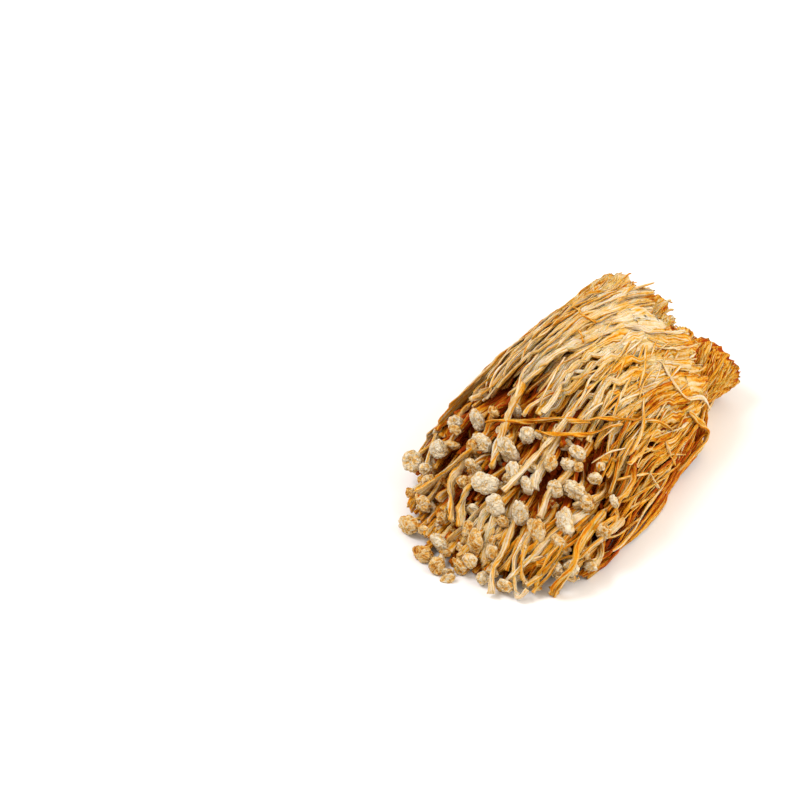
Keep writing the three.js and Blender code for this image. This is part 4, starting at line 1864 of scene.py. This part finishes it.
@dataclass(frozen=True)
class Studio:
    """The camera, the lights and the floor.

    Attributes:
        azimuth, elevation, distance: where the camera is, from the bunch.
        focal_px, frame_px, sensor_mm: the lens, in the frame's pixels, and the sensor's width.
        aim: how far to the right of the bunch's middle and above it the camera looks.
        floor_size: the floor's side, in metres.
        sky, sky_strength: the colour and strength of the light from all round.
    """

    azimuth: float = 33.0
    elevation: float = 37.0
    distance: float = 700.0
    focal_px: float = 2460.0
    frame_px: float = 800.0
    sensor_mm: float = 36.0
    aim: tuple[float, float] = (-48.4, 21.0)
    floor_size: float = 6.0
    sky: str = "#fff0dc"
    sky_strength: float = 1.08

    def axes(self) -> tuple[Vector, Vector, Vector]:
        """The camera's own axes.

        Returns:
            The directions to the camera, to the frame's right and up.
        """
        a, e = math.radians(self.azimuth), math.radians(self.elevation)
        back = Vector((math.sin(a) * math.cos(e), -math.cos(a) * math.cos(e), math.sin(e)))
        right = Vector((math.cos(a), math.sin(a), 0.0))
        return back, right, back.cross(right)

    def place_camera(self) -> None:
        """Makes the scene's camera, which sees the bunch in the right part of the frame."""
        back, right, up = self.axes()
        target = right * self.aim[0] + up * self.aim[1] + Vector(FORM.centring)
        camera = bpy.data.objects.new("camera", bpy.data.cameras.new("camera"))
        camera.data.sensor_width = self.sensor_mm
        camera.data.lens = self.focal_px * self.sensor_mm / self.frame_px
        camera.data.clip_end = 10.0
        turned = Matrix((right, up, back)).transposed().to_4x4()
        camera.matrix_world = Matrix.Translation((target + back * self.distance) * METRES) @ turned
        bpy.context.scene.collection.objects.link(camera)
        bpy.context.scene.camera = camera

    def lamp(self, name: str, place: Sizes, size: float, watts: float, tint: str) -> None:
        """Adds a square soft light that faces the bunch.

        Args:
            name: its name.
            place: how far along the frame's right, up, and towards the camera.
            size: its side.
            watts: its power.
            tint: its sRGB hex colour.
        """
        back, right, up = self.axes()
        at = (right * place[0] + up * place[1] + back * place[2]) * METRES
        light = bpy.data.lights.new(name, "AREA")
        light.size = size * METRES
        light.energy = watts
        light.color = linear(tint)[:3]
        made = bpy.data.objects.new(name, light)
        made.location = at
        made.rotation_mode = "QUATERNION"
        made.rotation_quaternion = (-at).to_track_quat("-Z", "Y")
        bpy.context.scene.collection.objects.link(made)

    def build(self) -> None:
        """Builds the floor and the lights, and sets the world's pale fill."""
        bpy.ops.mesh.primitive_plane_add(size=self.floor_size, location=(0, 0, 0))
        floor = bpy.context.object
        floor.name = "floor"
        floor.data.materials.append(StudioFloor().material())
        floor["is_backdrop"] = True
        self.lamp("key", (-430.0, 500.0, 380.0), 300.0, 3.4, "#fcfaff")
        self.lamp("fill", (620.0, 260.0, 420.0), 600.0, 4.4, "#fffaf5")
        world = bpy.data.worlds.new("studio")
        world.use_nodes = True
        backdrop = world.node_tree.nodes["Background"]
        backdrop.inputs["Color"].default_value = linear(self.sky)
        backdrop.inputs["Strength"].default_value = self.sky_strength
        bpy.context.scene.world = world
        bpy.context.scene.view_settings.view_transform = "Standard"


def corners() -> list[list[float]]:
    """The shown object's lowest and highest corners as plain lists."""
    return [list(corner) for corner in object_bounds()]


def main() -> None:
    """Builds the bunch round its frame, piece by piece."""
    logging.basicConfig(level=logging.INFO, format="%(name)s %(message)s")
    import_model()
    studio = Studio()
    studio.place_camera()
    studio.build()
    stem, cap = DriedStem().material(), DriedCap().material()
    # The second and third layers carry painted shade, more the deeper they lie.
    layers = (
        SurfaceStems("outer_stems", 96, 0.0, rings=60, sides=16, grooves=(-0.6, 0.0, 0.6), seed=100.0),
        SurfaceStems("second_stems", 84, 0.055, rings=42, sides=8, shade=0.45, seed=101.0),
        SurfaceStems("third_stems", 56, 0.11, rings=36, sides=6, shade=0.75, seed=102.0),
    )
    packed, fruiting = PackedStems(), FruitingStems()
    for piece in (MattedMiddle(), *layers, FusedRibbons(), LooseStrands(), UndersideStems(), packed):
        piece.build(stem, Slot.STEM)
    RootEnd().build(stem, Slot.ROOT)
    fruiting.build(stem, Slot.STEM)
    capped = fruiting.paths()[0]
    laid, loose = capped[: len(HEADS)], capped[len(HEADS) :]
    radius, pale = (np.array([getattr(head, key) for head in HEADS], float) for key in ("radius", "pale"))
    forms = [head.form for head in HEADS]
    Caps("standing_caps", 52, 30, laid, radius, forms, pale).build(cap, Slot.CAP)
    small_heads = (("small_caps", loose, 2.8, 50), ("nestled_caps", packed.paths()[::5], 2.1, 90))
    for name, paths, largest, seed in small_heads:
        index = np.arange(len(paths)) + seed
        radius = between(1.3, largest, draw(index, 31) ** 1.3)
        forms = [list(CapForm)[int(k)] for k in 3.99 * draw(index, 30)]
        pale = between(0.1, 0.8, draw(index, 32))
        Caps(name, 26, 16, paths, radius, forms, pale, seed).build(cap, Slot.CAP)


if __name__ == "__main__":
    main()
